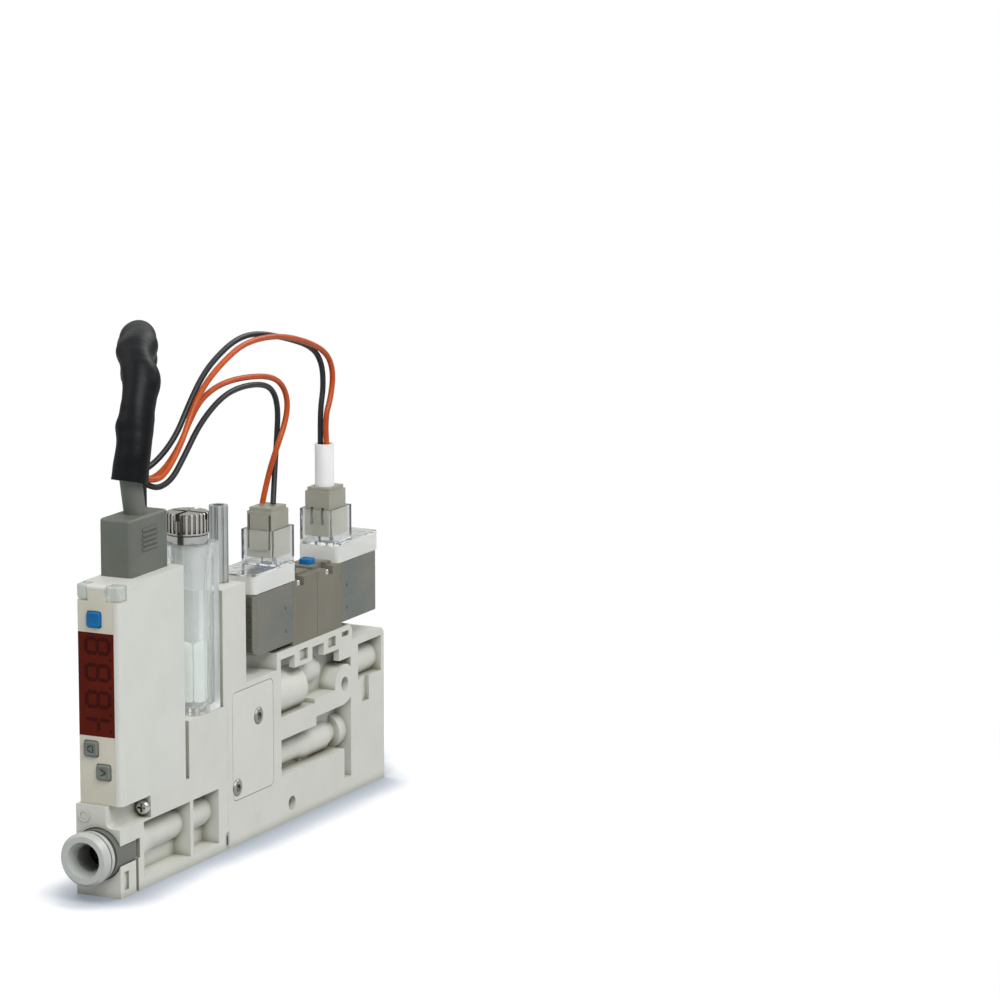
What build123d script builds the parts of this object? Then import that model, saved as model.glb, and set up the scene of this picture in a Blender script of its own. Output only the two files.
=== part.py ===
from build123d import *
import os
from math import cos, hypot, pi, radians, sin, tan

# Single-station vacuum ejector with a digital pressure switch, filter, two pilot valves and lead harness.
# Millimetres. X is the 15 mm width, Y runs from the vacuum port (-Y) to the rear end, Z is up.
# Sizes below measure Y from the front face of the port block; place() moves the whole unit so that
# the origin lies at the bottom centre of its bounding box.

# Main body
width = 15.0
half = width / 2
body_length = 168.0
collar_reach = 8.8
joint_y = 65.0
joint_clip_thick = 0.8
joint_clip_front = 1.9
joint_clip_rear = 0.5
joint_clip_low_z = 0.6
joint_clip_high_z = 5.4
deck_z = 50.0
running = 0.15
seat = 0.05

# Vacuum port and its push-in fitting
port_z = 13.0
tube_r = 4.0
bevel_r = 5.2
collar_r = 8.15
collar_flange = 2.6
collar_groove_r = 7.2
collar_travel = 1.0
fitting_bore_r = 8.1
fitting_r = 7.8
fitting_wall = 1.1
fitting_depth = 9.0
fitting_nose_y = -2.2
collar_back_y = fitting_nose_y - collar_travel - 0.2
collet_r = fitting_r - fitting_wall - running
grip_y = 3.4
seal_y = 6.2
passage_r = 2.6
tube_web_r = 4.9
tube_root_r = 7.3
tube_root_long = 12.0

# Port block
block_top_z = 27.6
saddle_z = 45.4
saddle_y = 41.4
corner_cut_x = 2.7
corner_cut_z = 21.0
corner_cut_depth = 18.2
corner_cut_fillet = 1.8
window_low_z = 3.3
window_high_z = 20.4
window_front_y = 14.0
window_rib_y = 41.6
window_rib = 1.9
window_rear_y = 59.0
window_depth = 6.0
slit_y = 9.1
slit = 1.5
slit_depth = 2.6
clip_inset = 0.9
clip_thick = 1.2
clip_low_z = 10.1
clip_high_z = 16.2

# Pressure switch
case_y = 1.6
case_depth = 37.7
case_top_z = 93.8
case_wall = 1.2
case_edge = 1.5
panel_left = -6.9
panel_right = 5.35
panel_top_z = 92.6
panel_thick = 1.3
window_thick = 0.7
display_low_z = 48.3
display_high_z = 79.6
cap_low_z = 89.0
cap_back = 4.5
cap_side = 3.9
button = 5.2
button_edge = 0.9
button_out = 0.9
button_deep = 3.4
button_flange = 0.7
button_travel = 0.5
button_gap = 0.3
set_x, set_z = -1.5, 83.6
up_x, up_z = -3.1, 44.4
down_x, down_z = 1.1, 37.6
board_y = 7.4
board_thick = 1.2
board_left, board_right = -5.4, 5.0
board_rise = 2.2
board_drop = 2.0
digits_left, digits_right = -4.6, 4.2
digits_inset = 1.6
socket_wide = 6.0
socket_back_y = 12.0
socket_low_z, socket_high_z = 62.0, 74.0
sensor_y = 20.0
sensor_r = 3.6
sensor_long = 7.0
sensor_nipple_r = 1.2
sensor_nipple = 3.0

switch_screw_x, switch_screw_z = 5.25, 23.9
switch_screw_r = 2.2
switch_screw_head = 1.9

# Cable plug on the switch
plug_x = -1.55
plug_y = 25.8
plug_wide = 10.9
plug_long = 22.2
plug_high = 17.4
plug_edge = 1.3
plug_nose = 5.0
plug_rib = 0.4
plug_ribs = 5
plug_rib_pitch = 1.45
plug_rib_long = 9.0
plug_rib_low = 7.6
boot_r = 3.35
boot_base = (-1.1, 26.0)
boot_top = (-1.6, 24.2)
boot_top_z = 122.5

# Filter and flow screw
filter_y = 55.0
filter_wide = 14.6
filter_top_z = 97.4
filter_bore_r = 5.7
filter_floor = 2.0
element_r = 4.7
element_bore_r = 3.3
element_high = 17.0
flow_housing_low_z = 84.0
flow_flange = 2.6
knob_r = 6.6
knob_high = 6.8
knob_flutes = 26
knob_flute_r = 0.48
knob_flute_in = 0.2
knob_slot = 1.4
knob_slot_deep = 2.2
stem_r = 1.9
needle_bore_r = 1.95

# Fluted post behind the filter
ledge_front_y = 62.6
ledge_back_y = 77.0
ledge_z = 81.6
post_y = 74.0
post_r = 2.95
post_high = 24.0
post_bore_r = 1.7
post_flutes = 10
post_flute_r = 0.35

# Ejector body side lattice, seen from the side
rail_y = 96.5
tail_length = 22.8
rail_end_y = body_length - tail_length
rail_z = 55.3
rail_strip = 2.6
rail_wall = 2.0
lattice_y = 99.0
lattice_low_z = 15.3
web_half = 1.6
supply_z = 40.3
supply_tube_r = 7.3
supply_tube_end = 117.0
release_z = 43.5
release_tube_r = 4.6
release_tube_end = 130.0
ejector_z = 20.1
ejector_tube_r = 4.2
ejector_barrel_r = 5.1
ejector_barrel = (25.0, 10.0)
ejector_neck_r = 3.9
ejector_collar_r = 5.8
ejector_collar = 4.6
foot = (26.0, 20.0)
beam_low_z = 27.0
beam_high_z = 34.3
beam_step_y = 122.0
beam_step = 2.8
slot_wide = 4.6
slot_y = rail_end_y - slot_wide
slot_low_z = 5.5
slot_high_z = 30.0
boss_back = 4.1
boss_y = rail_end_y - boss_back
boss_z = 36.5
boss_r = 6.4
mount_hole_r = 2.3
low_hole_y = 105.6
low_hole_z = 5.4
tail_window_long = 15.8
tail_window_low_z = 36.0
tail_window_high_z = 47.6
tail_wall = 2.0
tail_window_y = body_length - tail_wall - tail_window_long
tail_slot = (2.8, 7.4)
tail_slot_low_z = 28.0
tab_rears = (37.2, 25.5, 17.9, 7.8)
rear_port_r = 3.0
rear_port_deep = 12.0

# Cover plate on the ejector body
plate_front_y = 68.0
plate_back_y = 94.0
plate_low_z = 14.0
plate_high_z = 48.3
plate_thick = 1.4
plate_gap = 0.2
plate_corner = 2.2
screw_head_r = 2.6
screw_head = 1.3
screw_shank_r = 1.3
screw_grip = 2.0
screw_places = ((84.5, 38.0), (70.9, 18.1))

# Nozzle, diffuser, spools and silencer
ejector_bore_r = 3.0
nozzle_y = 70.0
nozzle_long = 20.0
throat_r = 0.6
diffuser_rear = 6.2
spool_bore_r = 3.6
spool_y = 72.0
spool_long = 24.0
spool_travel = 1.5
small_spool_bore_r = 2.6
small_spool_y = 100.0
small_spool_long = 16.0
land_clear = 0.08
spring_wire = 0.3
silencer_r = 4.4

# Pilot valves, mirrored about valve_mid_y
valve_mid_y = 123.9
valve_half = 7.1
valve_body_long = 16.2
valve_body_top_z = 76.2
coil_far = 40.4
coil_low_z = 56.7
coil_high_z = 76.0
coil_sheet = 1.0
coil_bend = 1.6
coil_low_corner = 2.0
coil_high_corner = 0.8
rivet_zs = (61.0, 68.5)
rivet_r = 0.6
rivet_back = 4.0
rivet_out = 0.2
coil_r = 5.2
plunger_r = 2.1
plunger_long = 12.0
plunger_travel = 0.6
cover_near = 13.9
cover_far = 41.0
cover_half = 7.4
cover_low_z = 76.3
cover_high_z = 82.4
cover_wall = 0.9
socket_near = 12.4
socket_far = 25.7
socket_half = 5.7
socket_top_z = 93.4
socket_wall = 0.8
housing_half = 4.65
housing_near = 13.5
housing_far = 24.3
housing_low_z = 84.6
housing_top_z = 98.9
housing_step = 1.2
latch_half = 3.2
latch_groove = 0.8
latch_low_z = 87.0
latch_top_z = 98.0
terminal_x = 1.9
terminal_wide = 1.1
terminal_low_z, terminal_high_z = 88.2, 93.8
terminal_deep = 1.6
override_u = 6.4
override_wide = 4.2
override_edge = 0.9
override_top_z = 78.8
override_travel = 0.8
valve_screw_x = 4.9
valve_screw_r = 1.8
valve_screw_u = (11.0, 8.0)
valve_screw_long = 9.0

# Harness
cable_r = 2.25
sleeve_r = 5.6
lead_r = 0.9
marker_r = 3.05
marker_bore_r = 2.35
marker_high = 13.6
floor_gap = 0.3
sleeve_start = 0.5
hank_near_x = -9.95
hank_fold_r = 14.4
hank_front_y = 101.9
hank_long = 95.0
hank_layers = 4
hank_strands = 2

frame_y = -(body_length - collar_reach) / 2
pieces = {}


def place(name, shape):
    """Move a finished piece into the unit's frame and keep it under its node name."""
    pieces[name] = Pos(0, frame_y, 0) * shape


def block(x0, x1, y0, y1, z0, z1):
    return Pos((x0 + x1) / 2, (y0 + y1) / 2, (z0 + z1) / 2) * Box(x1 - x0, y1 - y0, z1 - z0)


def rod_x(r, x0, x1, y, z):
    return Pos((x0 + x1) / 2, y, z) * Rot(0, 90, 0) * Cylinder(r, x1 - x0)


def rod_y(r, y0, y1, z, x=0.0):
    return Pos(x, (y0 + y1) / 2, z) * Rot(90, 0, 0) * Cylinder(r, y1 - y0)


def rod_z(r, x, y, z0, z1):
    return Pos(x, y, (z0 + z1) / 2) * Cylinder(r, z1 - z0)


def both_sides(shape):
    return shape + mirror(shape, about=Plane.YZ)


def rounded_yz(x0, x1, y0, y1, z0, z1, r):
    """A plate in the YZ plane with rounded corners."""
    sketch = Plane.YZ.offset(x0) * Pos((y0 + y1) / 2, (z0 + z1) / 2) * RectangleRounded(y1 - y0, z1 - z0, r)
    return extrude(sketch, x1 - x0)


def rounded_xz(x0, x1, z0, z1, y0, y1, r):
    """A plate in the XZ plane with rounded corners, running from y0 back to y1."""
    sketch = Plane.XZ.offset(-y0) * Pos((x0 + x1) / 2, (z0 + z1) / 2) * RectangleRounded(x1 - x0, z1 - z0, r)
    return extrude(sketch, -(y1 - y0))


def rounded_xy(x0, x1, y0, y1, z0, z1, r):
    sketch = Pos((x0 + x1) / 2, (y0 + y1) / 2, z0) * RectangleRounded(x1 - x0, y1 - y0, r)
    return extrude(sketch, z1 - z0)


# Port block: front moulding with the vacuum port, side windows and the saddle for the filter


def joint_clip(grow=0.0):
    """Flat clip across the joint between the two mouldings, or the pocket for it when grown."""
    return block(half - joint_clip_thick - grow, half + 2 * grow, joint_y - joint_clip_front - grow,
                 joint_y + joint_clip_rear + grow, joint_clip_low_z - grow, joint_clip_high_z + grow)


def port_block():
    body = block(-half, half, 0, joint_y, 0, block_top_z)
    body += block(-half, half, saddle_y, joint_y, block_top_z, saddle_z)
    corner = rounded_xz(corner_cut_x, half * 2, corner_cut_z, block_top_z * 2, -1, corner_cut_depth, corner_cut_fillet)
    body -= corner
    bays = ((window_front_y, window_rib_y), (window_rib_y + window_rib, window_rear_y))
    for front, rear in bays:
        bay = block(half - window_depth, half + 1, front, rear, window_low_z, window_high_z)
        body -= both_sides(bay)
    body += rod_y(tube_web_r, window_front_y, window_rear_y, port_z)
    root = Polyline((0, window_front_y - 1), (tube_root_r, window_front_y - 1), (tube_root_r, window_front_y + 1),
                    (tube_web_r - 0.1, window_front_y + tube_root_long), (0, window_front_y + tube_root_long), close=True)
    body += Pos(0, 0, port_z) * revolve(make_face(root), Axis.Y)
    # bore for the fitting breaks out through both sides, and a slit takes its clip
    body -= rod_y(fitting_bore_r, -1, fitting_depth, port_z)
    body -= both_sides(block(half - slit_depth, half + 1, slit_y, slit_y + slit, -1, clip_low_z + 1))
    body -= both_sides(block(half - slit_depth, half + 1, slit_y, slit_y + 1.6 * slit, clip_low_z, clip_high_z))
    body -= block(-half, half, slit_y, slit_y + slit, -1, 1.5)
    for side in (-1, 1):
        body -= Pos(side * half, 3.6, 4.9) * Box(1.6, 2.6, 5.6)
    body -= rod_y(passage_r, 0, filter_y + passage_r, port_z)
    body -= rod_z(passage_r, 0, filter_y, port_z, saddle_z + 1)
    body -= rod_y(screw_shank_r + seat, corner_cut_depth - 1, corner_cut_depth + 8, switch_screw_z, switch_screw_x)
    # moulded mark beside the port
    body += rod_y(1.9, -0.25, 0.5, 24.2, -4.7) - rod_y(1.3, -0.5, 0, 24.2, -4.7)
    body -= joint_clip(seat)
    place("port_block", body)


def fitting():
    sleeve = rod_y(fitting_r, fitting_nose_y, fitting_depth - 0.2, port_z)
    sleeve -= rod_y(fitting_r - fitting_wall, fitting_nose_y - 1, fitting_depth - fitting_wall, port_z)
    sleeve -= rod_y(passage_r, 0, fitting_depth + 1, port_z)
    place("fitting_body", sleeve)

    inner_r = fitting_r - fitting_wall - running
    ring = rod_y(inner_r, grip_y, grip_y + 1.6, port_z) - rod_y(tube_r + 0.3, 0, 20, port_z)
    for k in range(8):
        ring -= Pos(0, 0, port_z) * Rot(0, k * 45, 0) * Pos(tube_r + 0.8, grip_y + 0.8, 0) * Box(1.4, 2, 0.5)
    place("grab_ring", ring)

    seal = rod_y(inner_r, seal_y, seal_y + 1.5, port_z) - rod_y(tube_r - 0.1, 0, 20, port_z)
    place("port_seal", seal)

    # release collar: two flanges with a finger groove between, and a sleeve that reaches the grab ring
    outline = Polyline(
        (tube_r + running, grip_y - collar_travel - 0.3),
        (collet_r, grip_y - collar_travel - 0.3),
        (collet_r, collar_back_y + 0.1),
        (collar_r - 0.3, collar_back_y - 0.2),
        (collar_r - 0.1, collar_back_y - 2.0),
        (collar_groove_r, collar_back_y - 2.3),
        (collar_groove_r, collar_flange - collar_reach + 0.4),
        (collar_r, collar_flange - collar_reach),
        (collar_r, -collar_reach + 0.9),
        (collar_r - 0.9, -collar_reach),
        (bevel_r + 0.3, -collar_reach),
        (tube_r + running, -collar_reach + 3.6),
        close=True,
    )
    collar = Pos(0, 0, port_z) * revolve(make_face(outline), Axis.Y)
    place("release_collar", collar)

    reach = half - clip_inset
    clip = block(-reach, reach, slit_y + 0.2, slit_y + slit - 0.2, 0.2, clip_high_z - 0.6)
    clip -= block(clip_thick - reach, reach - clip_thick, 0, 20, 1.3, clip_high_z + 1)
    place("fitting_clip", clip)


def switch_case():
    back = case_y + case_depth
    body = block(-half, half, case_y, back, block_top_z, case_top_z)
    body = fillet(body.edges().filter_by(Axis.Z).group_by(Axis.Y)[0], case_edge)
    inside = block(-half + case_wall, half - case_wall, case_y + 2, back - case_wall,
                   block_top_z + case_wall, case_top_z - case_wall)
    body -= inside
    body -= block(panel_left, panel_right, 0, case_y + panel_thick, block_top_z - 1, panel_top_z)
    body -= block(panel_left + 0.5, panel_right - 0.5, 0, case_y + 4, block_top_z + case_wall, cap_low_z - 1)
    body -= block(-half - 1, half + 1, 0, case_y + cap_back, cap_low_z, case_top_z + 1)
    opening = plug_long - 3 + 2 * running
    body -= block(plug_x - 3.6, plug_x + 3.6, plug_y - opening / 2, plug_y + opening / 2,
                  case_top_z - 3, case_top_z + 1)
    place("switch_case", body)

    panel = block(panel_left + seat, panel_right - seat, case_y, case_y + panel_thick,
                  block_top_z + seat, cap_low_z - seat)
    panel += block(-3.4, 2.3, case_y, case_y + 0.6, cap_low_z - 1, panel_top_z)
    panel -= block(-half, half, 0, case_y + window_thick, display_low_z, display_high_z)
    panel -= block(panel_left + 1.2, panel_right - 1.2, 0, 20, display_low_z + 1.2, display_high_z - 1.2)
    hole = button / 2 + button_gap
    for x, z in ((set_x, set_z), (up_x, up_z), (down_x, down_z)):
        panel -= rounded_xz(x - hole, x + hole, z - hole, z + hole, 0, 10, button_edge)
    place("front_panel", panel)

    glass = block(panel_left + seat, panel_right - seat, case_y, case_y + window_thick - seat,
                  display_low_z + seat, display_high_z - seat)
    place("display_window", glass)

    cap = block(-half, half, case_y, case_y + cap_back - seat, cap_low_z + seat, case_top_z)
    cap = fillet(cap.edges().filter_by(Axis.Z).group_by(Axis.Y)[0], case_edge)
    cap -= block(-3.4 - seat, 2.3 + seat, 0, case_y + 0.6 + seat, 0, panel_top_z + seat)
    cap -= block(-half + 1.4, half - 1.4, case_y + 1.6, 20, 0, case_top_z - 1.2)
    place("light_cap", cap)

    for name, x, z in (("set_button", set_x, set_z), ("up_button", up_x, up_z), ("down_button", down_x, down_z)):
        key = rounded_xz(x - button / 2, x + button / 2, z - button / 2, z + button / 2,
                         case_y - button_out, case_y + panel_thick + button_deep, button_edge)
        key = chamfer(key.faces().sort_by(Axis.Y)[0].edges(), 0.3)
        grow = button / 2 + 0.5
        rear = case_y + panel_thick + running
        key += rounded_xz(x - grow, x + grow, z - grow, z + grow, rear, rear + button_flange, button_edge)
        place(name, key)

    board = block(board_left, board_right, board_y, board_y + board_thick, block_top_z + board_rise, cap_low_z - board_drop)
    board += block(digits_left, digits_right, board_y - board_drop, board_y,
                   display_low_z + digits_inset, display_high_z - digits_inset)
    board += block(plug_x - socket_wide / 2, plug_x + socket_wide / 2, board_y + board_thick, socket_back_y,
                   socket_low_z, socket_high_z)
    place("switch_board", board)

    floor_z = block_top_z + case_wall
    sensor = rod_z(sensor_r, 0, sensor_y, floor_z + seat, floor_z + sensor_long)
    sensor += rod_z(sensor_nipple_r, 0, sensor_y, floor_z + sensor_long, floor_z + sensor_long + sensor_nipple)
    place("pressure_sensor", sensor)

    front = corner_cut_depth - switch_screw_head
    head = rod_y(switch_screw_r, front, corner_cut_depth - seat, switch_screw_z, switch_screw_x)
    head = fillet(head.edges().group_by(Axis.Y)[0], 0.9)
    head -= Pos(switch_screw_x, front, switch_screw_z) * Box(0.6, 1.8, 2.6)
    head -= Pos(switch_screw_x, front, switch_screw_z) * Box(2.6, 1.8, 0.6)
    head += rod_y(screw_shank_r, corner_cut_depth - 0.5, corner_cut_depth + 7, switch_screw_z, switch_screw_x)
    place("switch_screw", head)


def cable_plug():
    x0, x1 = plug_x - plug_wide / 2, plug_x + plug_wide / 2
    y0, y1 = plug_y - plug_long / 2, plug_y + plug_long / 2
    top = case_top_z + plug_high
    body = block(x0, x1, y0, y1, case_top_z + seat, top)
    body = fillet(body.edges().filter_by(Axis.Z), plug_edge)
    body = fillet(body.faces().sort_by(Axis.Z)[-1].edges(), plug_edge * 0.7)
    # gripping ribs on both sides
    for k in range(plug_ribs):
        z = case_top_z + plug_rib_low + k * plug_rib_pitch
        for x in (x0, x1):
            body += rounded_yz(x - plug_rib, x + plug_rib, plug_y - plug_rib_long / 2, plug_y + plug_rib_long / 2,
                               z - 0.35, z + 0.35, 0.3)
    nose = plug_long - 3
    body += block(plug_x - 3.4, plug_x + 3.4, plug_y - nose / 2, plug_y + nose / 2,
                  case_top_z - plug_nose, case_top_z + 1)
    # strain relief leaning forward with the cable
    low, high = Vector(*boot_base, top - 0.8), Vector(*boot_top, boot_top_z)
    body += Plane(origin=low, z_dir=high - low) * Pos(0, 0, (high - low).length / 2) * Cylinder(boot_r, (high - low).length)
    place("cable_plug", body)


def filter_parts():
    h = filter_wide / 2
    case = rounded_xy(-h, h, filter_y - h, filter_y + h, saddle_z + seat, filter_top_z, 1.6)
    case -= rod_z(filter_bore_r, 0, filter_y, saddle_z + filter_floor, filter_top_z + 1)
    case -= rod_z(passage_r, 0, filter_y, saddle_z - 1, saddle_z + 5)
    # flat-bottomed channel up each side face
    for side in (-1, 1):
        case -= block(side * h - 0.7, side * h + 0.7, filter_y - 2.8, filter_y + 2.8,
                      saddle_z + 2.5, filter_top_z - 3)
    place("filter_case", case)

    low = saddle_z + filter_floor
    seal = rod_z(element_r, 0, filter_y, low + seat, low + 1.4) - rod_z(passage_r, 0, filter_y, 0, 100)
    place("filter_seal", seal)
    element = rod_z(element_r, 0, filter_y, low + 1.4 + seat, low + 1.4 + element_high)
    element -= rod_z(element_bore_r, 0, filter_y, 0, low + element_high - 0.4)
    place("filter_element", element)

    housing = rod_z(filter_bore_r - seat, 0, filter_y, flow_housing_low_z, filter_top_z + 1)
    housing += rod_z(knob_r - 0.3, 0, filter_y, filter_top_z + seat, filter_top_z + flow_flange)
    housing -= rod_z(needle_bore_r, 0, filter_y, flow_housing_low_z + 4, filter_top_z + 10)
    housing -= rod_z(1.0, 0, filter_y, 0, filter_top_z)
    for k in range(6):
        housing -= Pos(0, filter_y, filter_top_z - 5) * Rot(0, 0, 60 * k) * Pos(filter_bore_r, 0, 0) * Box(1.4, 2.4, 6)
    place("flow_housing", housing)

    low_z = filter_top_z + flow_flange + running
    knob = rod_z(knob_r, 0, filter_y, low_z, low_z + knob_high)
    knob = chamfer(knob.edges().filter_by(GeomType.CIRCLE), 0.35)
    flute = Pos(knob_r - knob_flute_in, 0) * Circle(knob_flute_r)
    grooves = [Rot(0, 0, 360 / knob_flutes * k) * flute for k in range(knob_flutes)]
    knob -= Pos(0, filter_y, low_z + 0.8) * extrude(Sketch() + grooves, knob_high)
    knob -= Pos(0, filter_y, low_z + knob_high) * Box(2 * knob_r + 1, knob_slot, 2 * knob_slot_deep)
    knob -= Pos(0, filter_y, low_z + knob_high) * Box(knob_slot, 2 * knob_r + 1, 2 * knob_slot_deep)
    knob -= rod_z(stem_r, 0, filter_y, 0, low_z + 3)
    place("flow_knob", knob)
    stem = rod_z(stem_r, 0, filter_y, flow_housing_low_z + 4.2, low_z + 3)
    place("flow_needle", stem)


def fluted_post():
    post = rod_z(post_r, 0, post_y, ledge_z + seat, ledge_z + post_high)
    flute = Pos(post_r, 0) * Circle(post_flute_r)
    grooves = [Rot(0, 0, 360 / post_flutes * k) * flute for k in range(post_flutes)]
    post -= Pos(0, post_y, ledge_z) * extrude(Sketch() + grooves, post_high + 1)
    post -= rod_z(post_bore_r, 0, post_y, ledge_z + post_high - 12, ledge_z + post_high + 1)
    place("fluted_post", post)


# Ejector body: rear moulding whose open sides show the tubes of the supply, release and ejector stages


def ejector_tube():
    """Tube of the ejector stage: it widens to a barrel on a foot, then narrows to a neck before its end collar."""
    barrel_y, barrel_end = rail_end_y - ejector_barrel[0], rail_end_y - ejector_barrel[1]
    collar_y = rail_end_y - ejector_collar
    outline = Polyline((0, lattice_y - 1), (ejector_tube_r, lattice_y - 1), (ejector_tube_r, barrel_y - 3),
                       (ejector_barrel_r, barrel_y), (ejector_barrel_r, barrel_end), (ejector_neck_r, collar_y - 1),
                       (ejector_neck_r, collar_y), (ejector_collar_r, collar_y), (ejector_collar_r, rail_end_y + 1),
                       (0, rail_end_y + 1), close=True)
    tube = Pos(0, 0, ejector_z) * revolve(make_face(outline), Axis.Y)
    return tube + block(-2.6, 2.6, rail_end_y - foot[0], rail_end_y - foot[1], lattice_low_z - 1, ejector_z)


def ejector_body():
    body = block(-half, half, joint_y + seat, body_length, 0, deck_z)
    body += block(-half, half, ledge_front_y, ledge_back_y, saddle_z + seat, ledge_z)
    body += block(-half, half, rail_y, rail_end_y, deck_z, rail_z)
    body = chamfer(body.edges().filter_by(Axis.X).sort_by(lambda e: -e.center().Y - e.center().Z)[0:1], 1.6)

    lattice = block(web_half, half + 1, lattice_y, rail_end_y, lattice_low_z, rail_z - rail_strip)
    lattice += block(web_half, half + 1, slot_y, rail_end_y, slot_low_z, lattice_low_z + 1)
    body -= both_sides(lattice)
    body += rod_y(supply_tube_r, lattice_y - 1, supply_tube_end, supply_z)
    body += rod_y(release_tube_r, lattice_y, release_tube_end, release_z)
    body += ejector_tube()
    # stepped beam between the two stages, the drilled boss and the rail tabs
    beam = block(-half, half, lattice_y - 1, beam_step_y, beam_low_z, beam_high_z)
    beam += block(-half, half, beam_step_y - 1, boss_y, beam_low_z + beam_step, beam_high_z + 1.4)
    body += beam
    body += rod_x(boss_r, -half, half, boss_y, boss_z)
    edges = [rail_end_y - back for back in tab_rears]
    tabs = block(half - rail_wall, half, edges[0], edges[1], 48.4, rail_z - 1)
    tabs += block(half - rail_wall, half, edges[2], edges[3], 48.6, rail_z - 1)
    tabs += block(half - rail_wall, half, edges[3], rail_end_y + 1, 44.6, rail_z - 1)
    body += both_sides(tabs)
    slots = block(half - 1.2, half + 1, edges[0] + 3.4, edges[1] - 3.1, 49.8, 53.4)
    slots += block(half - 1.2, half + 1, edges[2] + 2.9, edges[3] - 2.2, 50.2, 53.4)
    slots += block(half - 1.2, half + 1, edges[3] + 2.0, rail_end_y - 1.4, 52.0, 53.6)
    body -= both_sides(slots)

    # tail window with the exhaust tube behind it, and the clip slot below
    tail = block(web_half, half + 1, tail_window_y, body_length - tail_wall, tail_window_low_z, tail_window_high_z)
    tail += block(half - 1.4, half + 1, tail_window_y + tail_slot[0], tail_window_y + tail_slot[1],
                  tail_slot_low_z, tail_window_low_z + 1)
    body -= both_sides(tail)
    body += rod_y(silencer_r + 1.3, tail_window_y - 1, body_length - tail_wall + 1, supply_z)

    # through holes for the mounting screws
    for y, z in ((low_hole_y, low_hole_z), (boss_y, boss_z)):
        body -= rod_x(mount_hole_r, -half - 1, half + 1, y, z)

    # bores for the ejector set, the two spools and the silencer
    body -= rod_y(ejector_bore_r, joint_y - 1, rail_end_y - 1, ejector_z)
    body -= rod_y(spool_bore_r, spool_y - 2, spool_y + spool_long + 10, supply_z)
    body -= rod_y(small_spool_bore_r, spool_y + spool_long + 11, release_tube_end - 2, release_z)
    body -= rod_y(silencer_r, tail_window_y, body_length + 1, supply_z)
    body -= rod_y(rear_port_r, body_length - rear_port_deep, body_length + 1, ejector_z)

    body -= joint_clip(seat)

    # shallow pocket for the cover plate and its screw holes
    pocket = rounded_yz(half - plate_thick, half + 1, plate_front_y, plate_back_y,
                        plate_low_z, plate_high_z, plate_corner)
    body -= pocket
    for y, z in screw_places:
        body -= rod_x(screw_shank_r + seat, half - plate_thick - screw_grip - 0.3, half, y, z)
    place("ejector_body", body)

    gap = plate_gap
    plate = rounded_yz(half - plate_thick + seat, half, plate_front_y + gap, plate_back_y - gap,
                       plate_low_z + gap, plate_high_z - gap, plate_corner - gap)
    screws = []
    for y, z in screw_places:
        plate -= rod_x(screw_head_r + running, half - plate_thick + 0.5, half + 1, y, z)
        plate -= rod_x(screw_shank_r + running, 0, half + 1, y, z)
        screw = rod_x(screw_head_r, half - plate_thick + 0.5 + seat, half + 0.35, y, z)
        screw = chamfer(screw.edges().group_by(Axis.X)[-1], 0.3)
        screw += rod_x(screw_shank_r, half - plate_thick - screw_grip, half - 0.5, y, z)
        socket = Plane.YZ.offset(half - 0.6) * Pos(y, z) * RegularPolygon(1.35, 6)
        screw -= extrude(socket, 2)
        screws.append(screw)
    place("cover_plate", plate)
    place("cover_screws", Compound(children=[s.solid() for s in screws]))

    clip = joint_clip()
    clip -= block(half - 1, half + 1, joint_y - 1.3, joint_y - 0.4, joint_clip_low_z + 0.9, joint_clip_high_z - 0.9)
    place("joint_clip", clip)


def ejector_set():
    nozzle = rod_y(ejector_bore_r - seat, nozzle_y, nozzle_y + nozzle_long, ejector_z)
    cone = Polyline((0, nozzle_y - 1), (2.2, nozzle_y - 1), (throat_r, nozzle_y + nozzle_long - 2),
                    (throat_r, nozzle_y + nozzle_long + 1), (0, nozzle_y + nozzle_long + 1), close=True)
    nozzle -= Pos(0, 0, ejector_z) * revolve(make_face(cone), Axis.Y)
    place("nozzle", nozzle)

    start = nozzle_y + nozzle_long + 3
    end = rail_end_y - diffuser_rear
    tube = rod_y(ejector_bore_r - seat, start, end, ejector_z)
    flow = Polyline((0, start - 1), (1.7, start - 1), (1.0, start + 8), (1.0, start + 20),
                    (2.1, end + 1), (0, end + 1), close=True)
    tube -= Pos(0, 0, ejector_z) * revolve(make_face(flow), Axis.Y)
    place("diffuser", tube)

    felt = rod_y(silencer_r - seat, tail_window_y + 0.3, body_length - 0.4, supply_z)
    felt -= rod_y(2.0, tail_window_y + 3, body_length + 1, supply_z)
    place("silencer_element", felt)


def spool(bore_r, start, long, z):
    """Three lands on a thin stem, with a spring seat at the rear."""
    land = bore_r - land_clear
    piece = rod_y(land * 0.55, start, start + long, z)
    for share in (0.0, 0.42, 0.84):
        y = start + share * long
        piece += rod_y(land, y, y + long * 0.16, z)
    return piece


def spring(r, y0, y1, z, turns):
    """Coil spring along Y: round wire swept on a helix."""
    pitch = (y1 - y0 - 2 * spring_wire) / turns
    path = Helix(pitch, y1 - y0 - 2 * spring_wire, r)
    coil = sweep(Plane(origin=path @ 0, z_dir=path % 0) * Circle(spring_wire), path=path)
    return Pos(0, y0 + spring_wire, z) * Rot(-90, 0, 0) * coil


def spools():
    place("supply_spool", spool(spool_bore_r, spool_y, spool_long, supply_z))
    rear = spool_y + spool_long
    place("supply_spring", spring(spool_bore_r - 1.0, rear + spool_travel + 0.1, rear + 9.9, supply_z, 4))
    small_y = spool_y + spool_long + 12
    place("release_spool", spool(small_spool_bore_r, small_y, small_spool_long - 4, release_z))
    end = small_y + small_spool_long - 4
    place("release_spring", spring(small_spool_bore_r - 0.7, end + spool_travel + 0.1, release_tube_end - 2.1, release_z, 4))


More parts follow.
